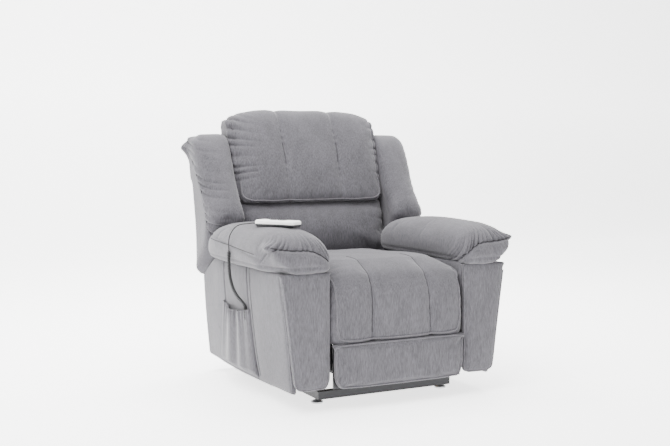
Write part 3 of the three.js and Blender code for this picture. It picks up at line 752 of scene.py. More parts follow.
# ---- handset cord ----------------------------------------------------------------------
class ChairCordMaker(bpy.types.Operator):
    """Lead over the arm, then the curly cord down into the pocket"""
    bl_idname = "chair.cord"
    bl_label = "Handset cord"

    def execute(self, context):
        rules = context.scene.chair_cord
        x, rear, z = CORD_EXIT

        def from_exit(points):
            return [(x + a / 1000, rear + b / 1000, z + c / 1000) for a, b, c in points]

        lead = from_exit([
            (-10.4, 18, 0), (-16, 27.7, -1), (-24, 41, -3), (-33, 55, -5), (-43, 68, -8), (-53, 78, -14),
            (-62, 84, -24), (-70, 86, -36), (-77, 87, -52), (-80.5, 86, -74), (-81, 84, -98)])
        curl = from_exit([
            (-81, 84, -98.6), (-82, 82, -140), (-80, 79, -190), (-71, 74, -233), (-55, 69, -266),
            (-39, 65, -285), (-30, 62, -300), (-28.5, 59, -321), (-28, 57, -349)])
        straight = smooth_loop(lead, 3, False)
        spine = smooth_loop(curl, 60, False)
        span = np.concatenate([[0], np.cumsum(np.linalg.norm(np.diff(spine, axis=0), axis=1))])
        radius = (rules.curl - rules.thickness) / 2
        turns = math.floor(span[-1] / rules.pitch)
        steps = turns * 14
        at = np.linspace(0, span[-1], steps + 1)
        centre = np.stack([np.interp(at, span, spine[:, k]) for k in range(3)], 1)
        ahead = np.gradient(centre, axis=0)
        ahead /= np.linalg.norm(ahead, axis=1)[:, None]
        side = np.cross(ahead, (0.0, 1.0, 0.0))
        side /= np.linalg.norm(side, axis=1)[:, None]
        up = np.cross(ahead, side)
        angle = 2 * np.pi * turns * np.arange(steps + 1) / steps
        grow = np.minimum(1, np.arange(steps + 1) / 20)
        helix = centre + (radius * grow)[:, None] * (
            np.cos(angle)[:, None] * side + np.sin(angle)[:, None] * up)
        route = np.concatenate([straight[:-1], helix])
        curve = bpy.data.curves.new("handset_cord", "CURVE")
        curve.dimensions = "3D"
        curve.bevel_depth = rules.thickness / 2
        curve.bevel_resolution = 2
        curve.use_fill_caps = True
        spline = curve.splines.new("POLY")
        spline.points.add(len(route) - 1)
        spline.points.foreach_set("co", np.c_[route, np.ones(len(route))].ravel())
        curve.materials.append(finish_of("cord"))
        piece = bpy.data.objects.new("handset_cord", curve)
        context.scene.collection.objects.link(piece)
        settle(piece, "carrier", "cord_rubber", ("handset_lead", "handset_curly_cord"))
        return {"FINISHED"}


# ---- back ------------------------------------------------------------------------------
def rear_at(z):
    """Where the back's rear face stands at a height."""
    return COVER_LOW[1] + COVER_THICK + COVER_LEAN * (z - COVER_LOW[2])


def front_at(z):
    """Where the timber's front face stands at a height."""
    return rear_at(z) - BACK_DEPTH


class ChairHeadPillow(bpy.types.Operator):
    """Three-channel head pillow that folds over the top of the back"""
    bl_idname = "chair.head_pillow"
    bl_label = "Head pillow"

    def execute(self, context):
        low, high = PILLOW_LOW[2], PILLOW_HIGH[2]
        half = PILLOW_HIGH[0] + 0.008
        top = COVER_HIGH[2] + 0.001
        base = front_at(low)
        profile = smooth_loop([
            (base - 0.006, low + 0.004), (front_at(0.82) - 0.006, 0.82),
            (front_at(top) - 0.004, top + 0.004),
            (rear_at(top) - 0.030, top + 0.006), (rear_at(top) - 0.004, top + 0.020),
            (rear_at(top) - 0.018, high - 0.022), (front_at(top) + 0.012, high - 0.002),
            (front_at(top) - 0.034, high - 0.014), (front_at(0.97) - 0.066, 0.98),
            (front_at(0.90) - 0.086, 0.90),
            (front_at(0.82) - 0.098, 0.82), (front_at(0.74) - 0.104, 0.745), (base - 0.104, low + 0.022),
            (base - 0.092, low + 0.002), (base - 0.050, low)])

        def section(x):
            u = abs(x) / half
            depth = 0.34 + 0.66 * max(0.0, 1 - u ** 5) ** 0.42
            rise = 1 - 0.56 * u ** 5
            tuck = 0.020 * max(0.0, u - 0.9) * 10
            ring = profile.copy()
            back = front_at(np.minimum(ring[:, 1], top))
            ahead = ring[:, 0] < back
            ring[:, 0] = np.where(ahead, back + (ring[:, 0] - back) * depth, ring[:, 0])
            ring[:, 1] = np.where(ring[:, 1] > top, top + (ring[:, 1] - top) * rise, ring[:, 1])
            level = np.minimum(ring[:, 1], top)
            wrap = np.clip((u - 0.80) / 0.05, 0, 1) * np.clip((level - 0.86) / 0.06, 0, 1)
            behind = (ring[:, 0] > back - 0.012) & (ring[:, 1] < top + 0.012)
            ring[:, 0] += behind * wrap * np.maximum(rear_at(level) - 0.018 - ring[:, 0], 0)
            over = np.maximum(ring[:, 0] - rear_at(level) + 0.030, 0)
            ring[:, 0] -= over * 0.9 * np.clip((u - 0.86) / 0.12, 0, 1)
            ring[:, 1] = ring[:, 1] + tuck * np.clip((low + 0.06 - ring[:, 1]) / 0.06, 0, 1)
            return ring

        solid = loft(ease(44, half), section)

        def seam_x(z, sx):
            return sx * (0.118 + 0.010 * (z - 0.85)) + 0.004

        def sewn(p):
            front = p[:, 1] < front_at(0.7) + 0.2
            seams = sum(bell(p[:, 0] - seam_x(p[:, 2], sx), 0.006) > 0.4 for sx in (-1, 1))
            behind = (p[:, 1] > front_at(p[:, 2]) - 0.014) & (p[:, 2] < top + 0.012)
            edge = (np.abs(p[:, 2] - low - 0.006) < 0.008) & front
            side = np.abs(p[:, 0]) > half - 0.006
            return (seams > 0) * front + behind + edge + side

        piece = cushion("head_pillow_cover", solid, held=sewn)
        edge = half - 0.010

        def shape(p, n):
            x, z = p[:, 0], p[:, 2]
            front = step(-n[:, 1] + 0.4 * n[:, 2], -0.25, 0.35)
            move = front * 0.004
            for sx in (-1, 1):
                away = x - seam_x(z, sx)
                pucker = 0.75 + 0.25 * np.sin(z * 150 + 3 * np.sin(z * 47))
                move -= front * bell(away, 0.0060) * 0.0060 * pucker
                move -= front * bell(away, 0.026) * 0.0045
                inward = edge - sx * x
                fan = z + (z - 0.86) * np.clip(inward, 0, 0.14) * 2.4
                crease = folds(fan, 0.036, 1.7 + sx)
                fade = step(z, low + 0.05, low + 0.14)
                reach = 0.034 if sx < 0 else 0.018
                deep = 0.0165 if sx < 0 else 0.0100
                move -= front * np.exp(-np.abs(inward) / reach) * crease * deep * fade
                move -= bell(inward - 0.006, 0.0045) * 0.005 * front
            low_fold = folds(x + 0.3, 0.075, 0.6)
            move -= front * np.exp(-(z - low) / 0.030) * low_fold * 0.0035
            drift = np.sin(x * 13 + 1.2) * np.sin(z * 17 + 0.4) + 0.6 * np.sin(x * 29 + z * 23)
            return move + front * drift * 0.0016

        push(piece, shape)
        settle(piece, "back", "upholstery", ("head_pillow",))
        y = base - 0.104
        lip = [(-edge + 0.004, base - 0.07, low + 0.09), (-edge + 0.008, y + 0.020, low + 0.034),
               (-edge + 0.040, y, low + 0.010)]
        lip += [(t, y - 0.006, low + 0.006) for t in np.linspace(-0.22, 0.22, 7)]
        lip += [(-a, b, c) for a, b, c in reversed(lip[:3])]
        piping("head_pillow_piping", piece, lip, "back")
        for side, sx in SIDES:
            core = (0.30, 0.86)
            reach = 0.3
            turns = np.linspace(math.radians(-32), math.radians(78), 14)
            line = [(seam_x(core[1] + reach * math.sin(a), sx), core[0] - reach * math.cos(a),
                     core[1] + reach * math.sin(a)) for a in turns]
            seam(f"head_pillow_seam_{side}", piece, line, "back", SEAM_SHADE_RADIUS,
                 lambda p: (0, core[0] - p[1], core[1] - p[2]))
        return {"FINISHED"}


class ChairLumbar(bpy.types.Operator):
    """Plain crowned cushion between the seat and the head pillow"""
    bl_idname = "chair.lumbar"
    bl_label = "Lumbar cushion"

    def execute(self, context):
        low, high = LUMBAR_LOW[2] - 0.050, LUMBAR_HIGH[2] + 0.003
        half = WING_LOW[0] - 0.004
        profile = smooth_loop([
            (front_at(low) - 0.006, low + 0.004), (front_at(high) - 0.006, high - 0.004),
            (front_at(high) - 0.070, high), (front_at(high) - 0.088, high - 0.018),
            (front_at(0.63) - 0.098, 0.63), (front_at(0.56) - 0.102, 0.56),
            (front_at(low) - 0.096, low + 0.066), (front_at(low) - 0.074, low + 0.034),
            (front_at(low) - 0.052, low + 0.008), (front_at(low) - 0.030, low)])

        def section(x):
            u = abs(x) / half
            depth = 0.50 + 0.50 * max(0.0, 1 - u ** 8) ** 0.5
            ring = profile.copy()
            back = front_at(ring[:, 1])
            ring[:, 0] = back + (ring[:, 0] - back) * depth
            return ring

        solid = loft(ease(40, half), section)
        piece = cushion("lumbar_cover", solid, held=lambda p: p[:, 1] > front_at(p[:, 2]) - 0.014,
                        swell=0.018)

        def shape(p, n):
            x, z = p[:, 0], p[:, 2]
            front = step(-n[:, 1], 0.1, 0.6)
            crown = (1 - (x / half) ** 2) * 0.004
            crease = folds(z + 0.2 * np.abs(x), 0.055, 2.3)
            ends = np.exp(-(half - np.abs(x)) / 0.06)
            drift = np.sin(x * 9 + 0.7) * np.sin(z * 21 + 1.9)
            return front * (crown - ends * crease * 0.004 + drift * 0.002)

        push(piece, shape)
        settle(piece, "back", "upholstery", ("lumbar_cushion",))
        return {"FINISHED"}


class ChairWings(bpy.types.Operator):
    """Side wings with a gathered seam and a pointed upper corner"""
    bl_idname = "chair.wings"
    bl_label = "Wings"

    def execute(self, context):
        for side, sx in SIDES:
            self.wing(side, sx)
        return {"FINISHED"}

    def seam_y(self, z):
        heights = [0.40, 0.552, 0.60, 0.66, 0.725, 0.79, 0.843, 0.90]
        return np.interp(z, heights, [0.150, 0.192, 0.205, 0.226, 0.262, 0.312, 0.360, 0.412])

    def wing(self, side, sx):
        inner, outer = WING_LOW[0], WING_HIGH[0]
        low, high = WING_LOW[2], WING_HIGH[2]
        front_low = WING_LOW[1] - 0.004
        loop = smooth_loop([
            (0.347, low - 0.014), (rear_at(0.55) - 0.014, 0.55), (rear_at(0.72) - 0.012, 0.72),
            (rear_at(0.86) - 0.012, 0.86), (0.436, 0.905), (0.418, high - 0.018), (0.368, high - 0.006),
            (0.318, 0.925), (0.272, 0.850), (0.232, 0.768), (0.192, 0.702), (front_low + 0.014, 0.655),
            (front_low + 0.004, 0.618), (0.176, 0.575), (0.205, 0.498)])
        middle = np.array(((loop[:, 0].max() + loop[:, 0].min()) / 2 + 0.05, (low + high) / 2))
        out = outline_normals(loop)

        def section(x):
            near = np.clip((inner + 0.022 - x) / 0.022, 0, 1)
            far = np.clip((x - outer + 0.052) / 0.048, 0, 1)
            inset = 0.016 * (1 - math.sqrt(1 - near ** 2)) + 0.046 * (1 - math.sqrt(1 - far ** 2))
            return loop - out * inset * np.where(loop[:, :1] > middle[0] + 0.06, 0.25, 1.0)

        near = inner - 0.002 + 0.024 * np.array([0, 0.04, 0.12, 0.25, 0.42, 0.65, 1.0])
        far = outer - 0.004 - 0.048 * np.array([1, 0.75, 0.55, 0.38, 0.24, 0.13, 0.05, 0.01])
        ear = ball((outer - 0.034, 0.420, 0.906), (0.036, 0.030, 0.028))
        verts, faces = merged(loft(np.concatenate([near, far]), section), ear)
        verts = [np.array((sx * v[0], v[1], v[2])) for v in verts]
        if sx < 0:
            faces = [tuple(reversed(f)) for f in faces]

        def sewn(p):
            side_face = sx * p[:, 0] > outer - 0.075
            seam = np.abs(p[:, 1] - self.seam_y(p[:, 2])) < 0.007
            behind = p[:, 1] > self.seam_y(p[:, 2])
            return side_face * seam + behind

        piece = cushion(f"wing_cover_{side}", (verts, faces), held=sewn, swell=0.012, relax=5)

        def shape(p, n):
            x, y, z = p.T
            x = sx * x
            outside = step(sx * n[:, 0], 0.0, 0.5) * step(x, outer - 0.10, outer - 0.05)
            behind = y - self.seam_y(z)
            move = -outside * bell(behind, 0.005) * 0.006
            move -= outside * step(behind, -0.004, 0.010) * 0.006
            roll = np.exp(-np.maximum(-behind, 0) / 0.055) * step(-behind, -0.002, 0.006)
            reach = step(x, inner + 0.03, outer - 0.02)
            deep = 0.0150 if sx < 0 else 0.006
            move -= roll * reach * folds(z - 0.35 * y, 0.030, 0.9 + 0.3 * sx) * deep
            drift = np.sin(z * 19 + 1.0) * np.sin(x * 31 + y * 11)
            return move + drift * 0.0014

        push(piece, shape)
        points = places(piece)
        tip = np.array((sx * (outer + 0.004), 0.440, 0.888))
        pull = bell(np.linalg.norm(points - tip, axis=1), 0.036)
        put(piece, points + pull[:, None] * np.array((sx * 0.034, 0.004, -0.010)))
        settle(piece, "back", "upholstery", (f"wing_{side}",))
        line = [(sx * (outer + 0.03), self.seam_y(z), z) for z in np.linspace(0.50, 0.885, 12)]
        seam(f"wing_seam_{side}", piece, line, "back", 0.0018, lambda p: (-sx, 0, 0))


class ChairRear(bpy.types.Operator):
    """Rear cover with its seams, the curtain below it and the valance"""
    bl_idname = "chair.rear"
    bl_label = "Rear cover"

    def execute(self, context):
        half = COVER_HIGH[0] + 0.007
        low, high = COVER_LOW[2], COVER_HIGH[2]
        loop = np.array([(rear_at(low), low), (rear_at(high), high),
                         (rear_at(high) - COVER_THICK, high), (rear_at(low) - COVER_THICK, low)])
        loop = edged(loop, 12)
        piece = panel("rear_cover_panel", bolster(loop, -half, half, 0.004), "rear", 0.006, 3)

        def shape(p, n):
            x, z = p[:, 0], p[:, 2]
            back = step(n[:, 1], 0.3, 0.8)
            crown = (1 - (x / half) ** 4) * (1 - ((z - low) / (high - low) * 2 - 1) ** 4)
            seam = sum(bell(np.abs(x) - s, 0.004) for s in (half - 0.035,)) + bell(z - high + 0.05, 0.004)
            ripple = np.sin(x * 11 + 0.5) * np.sin(z * 9 + 2.0) + 0.5 * np.sin(x * 23 + z * 17)
            return back * (crown * 0.006 - seam * 0.003 + ripple * 0.0016)

        push(piece, shape)
        points = places(piece)
        soft = 0.055
        across = np.maximum(np.abs(points[:, 0]) - half + soft, 0)
        up = np.maximum(points[:, 2] - high + soft, 0)
        reach = np.maximum(np.hypot(across, up), 1e-9)
        shrink = np.where((across > 0) & (up > 0), np.minimum(1, np.maximum(across, up) / reach), 1)
        points[:, 0] = np.sign(points[:, 0]) * (np.abs(points[:, 0]) - across * (1 - shrink))
        points[:, 2] -= up * (1 - shrink)
        put(piece, points)
        smooth_shade(piece)
        settle(piece, "back", "rear_cloth", ("back_rear_cover",))
        self.valance()
        self.curtain()
        return {"FINISHED"}

    def valance(self):
        half = VALANCE_HIGH[0]
        low, high = VALANCE_LOW[2], VALANCE_HIGH[2]
        lean = (VALANCE_HIGH[1] - VALANCE_LOW[1] - 0.008) / (high - low)
        verts, faces = [], []
        wide, tall = 90, 24
        for face, sign in ((VALANCE_HIGH[1], 1), (VALANCE_HIGH[1] - 0.007, -1)):
            for j in range(tall + 1):
                z = low + (high - low) * j / tall
                for i in range(wide + 1):
                    x = -half + 2 * half * i / wide
                    ripple = 0.0018 * math.sin(x * 21 + 1) * math.sin(z * 34)
                    hem = -0.0016 * math.exp(-((z - low - 0.016) / 0.003) ** 2)
                    verts.append((x, face - lean * (z - low) - 0.001 + (ripple + hem) * (sign > 0), z))
        row = wide + 1
        layer = row * (tall + 1)
        for j in range(tall):
            for i in range(wide):
                a = j * row + i
                faces.append((a + 1, a, a + row, a + row + 1))
                faces.append((layer + a, layer + a + 1, layer + a + row + 1, layer + a + row))
        rim = [j * row for j in range(tall + 1)] + [tall * row + i for i in range(1, row)]
        rim += [j * row + wide for j in range(tall - 1, -1, -1)] + [i for i in range(wide - 1, 0, -1)]
        for k, a in enumerate(rim):
            b = rim[(k + 1) % len(rim)]
            faces.append((a, b, b + layer, a + layer))
        piece = new_piece("rear_valance_cloth", verts, faces, "rear")
        smooth_shade(piece)
        settle(piece, "carrier", "rear_cloth", ("rear_valance",))

    def curtain(self):
        """A slack lining between the rear cover and the valance."""
        half = COVER_HIGH[0] - 0.022
        bottom, top = VALANCE_HIGH[2] - 0.012, COVER_LOW[2] + 0.012
        y_low = VALANCE_LOW[1] - 0.006
        y_top = rear_at(top) - 0.004
        wide, tall = 70, 26
        points = []
        for j in range(tall + 1):
            t = j / tall
            z = bottom + (top - bottom) * t
            for i in range(wide + 1):
                x = -half + 2 * half * i / wide
                sag = 0.006 * math.sin(math.pi * t) * (1 + math.sin(x * 40 + 1.3 * math.sin(x * 13)))
                points.append((x, y_low + (y_top - y_low) * t - sag, z))
        faces = []
        for j in range(tall):
            for i in range(wide):
                a = j * (wide + 1) + i
                faces.append((a + 1, a, a + wide + 1, a + wide + 2))
        piece = new_piece("rear_curtain", points, faces, "lining")
        solid = piece.modifiers.new("Thick", "SOLIDIFY")
        solid.thickness = 0.001
        apply_modifiers(piece)
        smooth_shade(piece)
        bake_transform(piece)
        math.hypot(top - bottom, y_top - y_low) * 1.02


# ---- arms ------------------------------------------------------------------------------
def arm_face(z):
    """Outer face of the arm's outer panel at a height."""
    return OUTER_LOW[0] + 0.020 + FLARE * (z - 0.066)


class ChairArmPads(bpy.types.Operator):
    """Arm pads with a gathered arched seam at the front"""
    bl_idname = "chair.arm_pads"
    bl_label = "Arm pads"

    def execute(self, context):
        for side, sx in SIDES:
            self.pad(side, sx)
        return {"FINISHED"}

    def section(self, y):
        """Half width, top and bottom of the pad at a place along the arm."""
        places_y = [-0.455, -0.450, -0.438, -0.412, -0.370, -0.310, -0.150, 0.000, 0.080, 0.130, 0.168]
        crown = PAD_HIGH[2]
        falls = np.array([0.100, 0.074, 0.048, 0.024, 0.010, 0.001, 0.0, 0.001, 0.006, 0.016, 0.036])
        halves = [0.090, 0.100, 0.107, 0.111, 0.113, 0.114, 0.114, 0.114, 0.114, 0.112, 0.107]
        bottoms = [0.492, 0.480, 0.472, 0.469, 0.469, 0.470, 0.471, 0.471, 0.471, 0.472, 0.476]
        return [np.interp(y, places_y, values) for values in (halves, crown - falls, bottoms)]

    def pad(self, side, sx):
        middle = (PAD_LOW[0] + PAD_HIGH[0]) / 2
        stations = np.concatenate([np.linspace(-0.455, -0.40, 12), np.linspace(-0.385, 0.13, 30),
                                   np.linspace(0.14, 0.168, 5)])
        count = 44
        verts, faces = [], []
        for y in stations:
            half, top, bottom = self.section(y)
            shoulder = bottom + (top - bottom) * 0.44
            for k in range(count):
                a = 2 * np.pi * k / count
                c, s = math.cos(a), math.sin(a)
                x = half * math.copysign(abs(c) ** 0.70, c)
                rise = (top - shoulder) if s > 0 else (shoulder - bottom)
                z = shoulder + rise * math.copysign(abs(s) ** (0.80 if s > 0 else 0.34), s)
                tuck = np.interp(y, [-0.42, -0.31], [0.055, 0.0]) * np.clip((0.555 - z) / 0.075, 0, 1)
                x -= tuck * np.clip((x - 0.02) / 0.06, 0, 1)
                verts.append(np.array((sx * (middle + x), y, z)))
        for i in range(len(stations) - 1):
            for k in range(count):
                m = (k + 1) % count
                faces.append((i * count + k, (i + 1) * count + k, (i + 1) * count + m, i * count + m))
        faces.append(tuple(range(count)))
        last = (len(stations) - 1) * count
        faces.append(tuple(range(last + count - 1, last - 1, -1)))
        if sx < 0:
            faces = [tuple(reversed(f)) for f in faces]

        def arch(x):
            """Height of the front seam across the pad; x grows outwards."""
            t = x - middle + 0.008
            return 0.554 - np.where(t < 0, 5.0, -0.9) * t ** 2

        def sewn(p):
            x = sx * p[:, 0]
            seam = (np.abs(p[:, 2] - arch(x)) < 0.006) & (p[:, 1] < -0.40)
            return seam + (p[:, 2] < 0.492)

        piece = cushion(f"arm_pad_cover_{side}", (verts, faces), held=sewn, swell=0.011, relax=4)

        def shape(p, n):
            x, y, z = p.T
            x = sx * x
            front = step(-y, 0.375, 0.425)
            above = z - arch(x) + np.maximum(y + 0.435, 0) * 0.7
            move = -front * bell(above, 0.0045) * 0.0065
            fan = (x - middle) + 0.35 * (x - middle) * np.maximum(above, 0) / 0.03
            gather = folds(fan, 0.024, 1.1 + 0.4 * sx)
            deep = 0.028 if sx > 0 else 0.020
            ahead = step(-y, 0.30, 0.40) * step(above, -0.001, 0.006)
            move -= ahead * np.exp(-above / 0.038) * gather * deep
            below = step(-above, 0.0, 0.01) * front
            move += below * bell(above + 0.028, 0.020) * 0.0045
            move -= below * folds(x * 1.1, 0.060, 2.2) * 0.003
            outside = step(sx * n[:, 0], 0.3, 0.8) * step(x, middle + 0.06, middle + 0.09)
            length = step(y, -0.36, -0.30)
            move -= outside * length * bell(z - 0.545 - 0.10 * (y + 0.1), 0.004) * 0.0028
            move -= bell(z - 0.497, 0.006) * 0.004 * step(np.abs(n[:, 0]) - n[:, 1], 0.3, 0.7)
            drift = np.sin(y * 15 + 0.8 * sx) * np.sin(x * 24 + z * 14)
            return move + drift * 0.0016

        push(piece, shape)
        points = places(piece)
        tip = np.array((sx * (PAD_HIGH[0] - 0.004), -0.400, 0.566))
        pull = bell(np.linalg.norm((points - tip) * (1, 1, 2.0), axis=1), 0.028)
        put(piece, points + pull[:, None] * np.array((sx * 0.022, -0.014, 0.002)))
        settle(piece, "carrier", "upholstery", (f"arm_pad_{side}",))
        across = np.linspace(PAD_LOW[0] + 0.006, PAD_HIGH[0] - 0.004, 9)
        route = [(sx * x, -0.50, float(arch(x))) for x in across]
        seam(f"arm_pad_seam_{side}", piece, route, "carrier", 0.0022, lambda p: (0, 1, 0))
        edge = PAD_HIGH[0] + 0.03
        route = [(sx * edge, y, 0.545 + 0.05 * (y + 0.1)) for y in np.linspace(-0.30, 0.13, 8)]
        seam(f"arm_pad_side_seam_{side}", piece, route, "carrier", SEAM_SHADE_RADIUS, lambda p: (-sx, 0, 0))


class ChairArmPanels(bpy.types.Operator):
    """Outer, inner and front panels of both arms"""
    bl_idname = "chair.arm_panels"
    bl_label = "Arm panels"

    def execute(self, context):
        for side, sx in SIDES:
            self.outer(side, sx)
            self.inner(side, sx)
            self.front(side, sx)
        return {"FINISHED"}

    def outer(self, side, sx):
        front, rear = OUTER_LOW[1], OUTER_HIGH[1]
        low, top = OUTER_LOW[2], OUTER_HIGH[2]
        lean = 53 / 334
        outline = np.array([
            (front + 0.002, low + 0.012), (-0.09, low), (0.12, low), (rear - 0.004, low + 0.012),
            (rear - lean * 0.334, low + 0.346), (0.195, top), (front + 0.002, top)])
        solid = bolster(edged(outline, 14), OUTER_LOW[0], OUTER_LOW[0] + PANEL_THICK, 0.008)
        piece = panel(f"arm_side_{side}", solid, "cloth", 0.006, 4)
        subdivide(piece)

        def shape(p, n):
            y, z = p[:, 1], p[:, 2]
            out = step(n[:, 0], 0.2, 0.7)
            tall = np.clip((z - low) / (top - low), 0, 1)
            along = np.clip((2 * (y - front) / (rear - front) - 1), -1, 1)
            crown = (1 - (2 * tall - 1) ** 4) * (1 - along ** 4)
            slanted = bell(y - 0.086 - 0.10 * (0.47 - z), 0.0035) * step(z, 0.30, 0.33)
            seams = bell(y + 0.128, 0.0035) + slanted
            ripple = np.sin(y * 13 + 0.6) * np.sin(z * 15 + 1.1) + 0.5 * np.sin(y * 31 + z * 9)
            return out * (crown * 0.008 - seams * 0.0035 + ripple * 0.0012)

        push(piece, shape, (1, 0, 0))
        mirrored(piece, sx, FLARE)
        settle(piece, "carrier", "upholstery", (f"arm_outer_panel_{side}",))
        heights = np.linspace(low + 0.030, top - 0.004, 8)
        corner = [(sx * (arm_face(z) - 0.002), front - 0.002, z) for z in heights]
        piping(f"arm_side_piping_{side}", piece, corner, "carrier", lift=0.2)
        rows = {"front": [(-0.127, top - 0.006), (-0.128, 0.40), (-0.128, POCKET_HIGH[2])],
                "middle": [(-0.152, top - 0.006), (-0.156, 0.28), (-0.160, low + 0.03)],
                "rear": [(0.086, top - 0.006), (0.093, 0.40), (0.101, POCKET_HIGH[2])]}
        for row, points in rows.items():
            spots = [(sx * (arm_face(z) + 0.03), y, z) for y, z in points]
            seam(f"arm_side_seam_{row}_{side}", piece, spots, "carrier", SEAM_SHADE_RADIUS, lambda p: (-sx, 0, 0))

    def inner(self, side, sx):
        front, rear = INNER_LOW[1], INNER_HIGH[1]
        low, top = INNER_LOW[2] + 0.014, INNER_HIGH[2] + 0.006
        outline = np.array([
            (front, low), (rear, low), (rear - 0.045, 0.386), (0.235, top - 0.008), (front, top)])
        solid = bolster(edged(outline, 14), INNER_LOW[0], INNER_HIGH[0], 0.006)
        piece = panel(f"arm_lining_{side}", solid, "cloth", 0.008, 3)
        push(piece, lambda p, n: 0.0012 * np.sin(p[:, 1] * 16) * np.sin(p[:, 2] * 14), (1, 0, 0))
        mirrored(piece, sx)
        settle(piece, "carrier", "upholstery", (f"arm_inner_panel_{side}",))

    def front(self, side, sx):
        inner, low, top = FACE_LOW[0], FACE_LOW[2], FACE_HIGH[2]
        foot = OUTER_LOW[0] + PANEL_THICK
        reach = FACE_HIGH[0]
        edge = smooth_loop([(inner + 0.002, low + 0.060), (inner + 0.002, low + 0.030),
                            (inner + 0.006, low + 0.012), (inner + 0.018, low + 0.003),
                            (inner + 0.040, low + 0.001), (foot - 0.060, low),
                            (foot - 0.030, low + 0.001), (foot - 0.010, low + 0.008),
                            (foot + 0.002, low + 0.028), (foot + 0.006, low + 0.060),
                            (foot + 0.014, low + 0.12),
                            ((foot + reach) / 2 + 0.004, (low + top) / 2 + 0.04),
                            (reach - 0.002, top - 0.03),
                            (reach - 0.006, top), (inner + 0.006, top), (inner + 0.002, top - 0.03),
                            (inner + 0.002, (low + top) / 2), (inner + 0.002, low + 0.12)], 8)
        verts, faces = bolster(edge, FACE_LOW[1], FACE_HIGH[1], 0.008, axis=1)
        faces = [tuple(reversed(f)) for f in faces]
        piece = panel(f"arm_front_{side}", (verts, faces), "cloth", 0.006, 4)
        subdivide(piece)
        middle = (inner + reach) / 2

        def shape(p, n):
            x, z = p[:, 0], p[:, 2]
            out = step(-n[:, 1], 0.2, 0.7)
            wide = np.clip((x - inner) / (foot + FLARE * (z - low) - inner), 0, 1)
            tall = np.clip((z - low) / (top - low), 0, 1)
            crown = (1 - (2 * wide - 1) ** 4) * (1 - (2 * tall - 1) ** 6)
            ripple = np.sin(x * 19 + 0.6) * np.sin(z * 13 + 1.1) + 0.4 * np.sin(x * 37 + z * 11)
            return out * (crown * 0.012 + ripple * 0.0012)

        push(piece, shape, (0, -1, 0))
        mirrored(piece, sx)
        settle(piece, "carrier", "upholstery", (f"arm_front_panel_{side}",))
        y = FACE_LOW[1] + 0.001
        rim = [(inner + 0.007, y, top - 0.01), (inner + 0.006, y, (low + top) / 2),
               (inner + 0.006, y, low + 0.12), (inner + 0.006, y, low + 0.06),
               (inner + 0.008, y, low + 0.030), (inner + 0.020, y, low + 0.008),
               (inner + 0.044, y, low + 0.005), (middle, y, low + 0.004), (foot - 0.060, y, low + 0.004),
               (foot - 0.030, y, low + 0.005), (foot - 0.008, y, low + 0.014), (foot, y, low + 0.040),
               (foot + 0.012, y, low + 0.14),
               ((foot + reach) / 2 + 0.002, y, (low + top) / 2 + 0.05), (reach - 0.006, y, top - 0.03)]
        rim = [(sx * a, b, c) for a, b, c in rim]
        piping(f"arm_front_piping_{side}", piece, rim, "carrier", drawn=False)


class ChairPocket(bpy.types.Operator):
    """Gathered side pocket on the right arm"""
    bl_idname = "chair.pocket"
    bl_label = "Side pocket"

    def execute(self, context):
        front, rear = POCKET_LOW[1] + 0.004, POCKET_HIGH[1] - 0.004
        low, mouth = POCKET_LOW[2] - 0.008, POCKET_HIGH[2]
        wide, tall = 150, 110
        inset = 0.086
        depth = 0.031
        verts = []
        for j in range(tall + 1):
            v = j / tall
            for i in range(wide + 1):
                u = i / wide
                start = front + 0.004 * v
                end = rear - inset * v
                y = start + (end - start) * u
                sag = 0.018 * math.sin(math.pi * u) * v ** 2
                z = low + (mouth - low) * v - sag
                rim = max(0.0, math.sin(math.pi * u)) ** 0.26
                floor = min(1, v / 0.10) ** 0.5
                bag = depth * rim * floor * (0.86 + 0.14 * (1 - v) - 0.25 * u * v)
                lean = math.sin(2 * math.pi * (3.2 * u + 0.25 * math.sin(4 * u)) + 0.9)
                loose = 0.0085 * lean * rim * floor * (0.45 + 0.55 * v) * min(1, 2.2 * u)
                tight = 0.0026 * math.sin(2 * math.pi * 15 * u + 2 * math.sin(9 * u)) * rim * v ** 6
                hem = 0.002 * math.exp(-((v - 0.965) / 0.012) ** 2) * rim
                x = arm_face(z) + 0.0025 + bag + loose + tight - hem
                verts.append((-x, y, z))
        faces = []
        for j in range(tall):
            for i in range(wide):
                a = j * (wide + 1) + i
                faces.append((a, a + wide + 1, a + wide + 2, a + 1))
        piece = new_piece("side_pocket_cloth", verts, faces, "cloth")
        solid = piece.modifiers.new("Thick", "SOLIDIFY")
        solid.thickness = 0.0022
        solid.offset = -1
        apply_modifiers(piece)
        smooth_shade(piece)
        settle(piece, "carrier", "upholstery", ("side_pocket",))
        return {"FINISHED"}


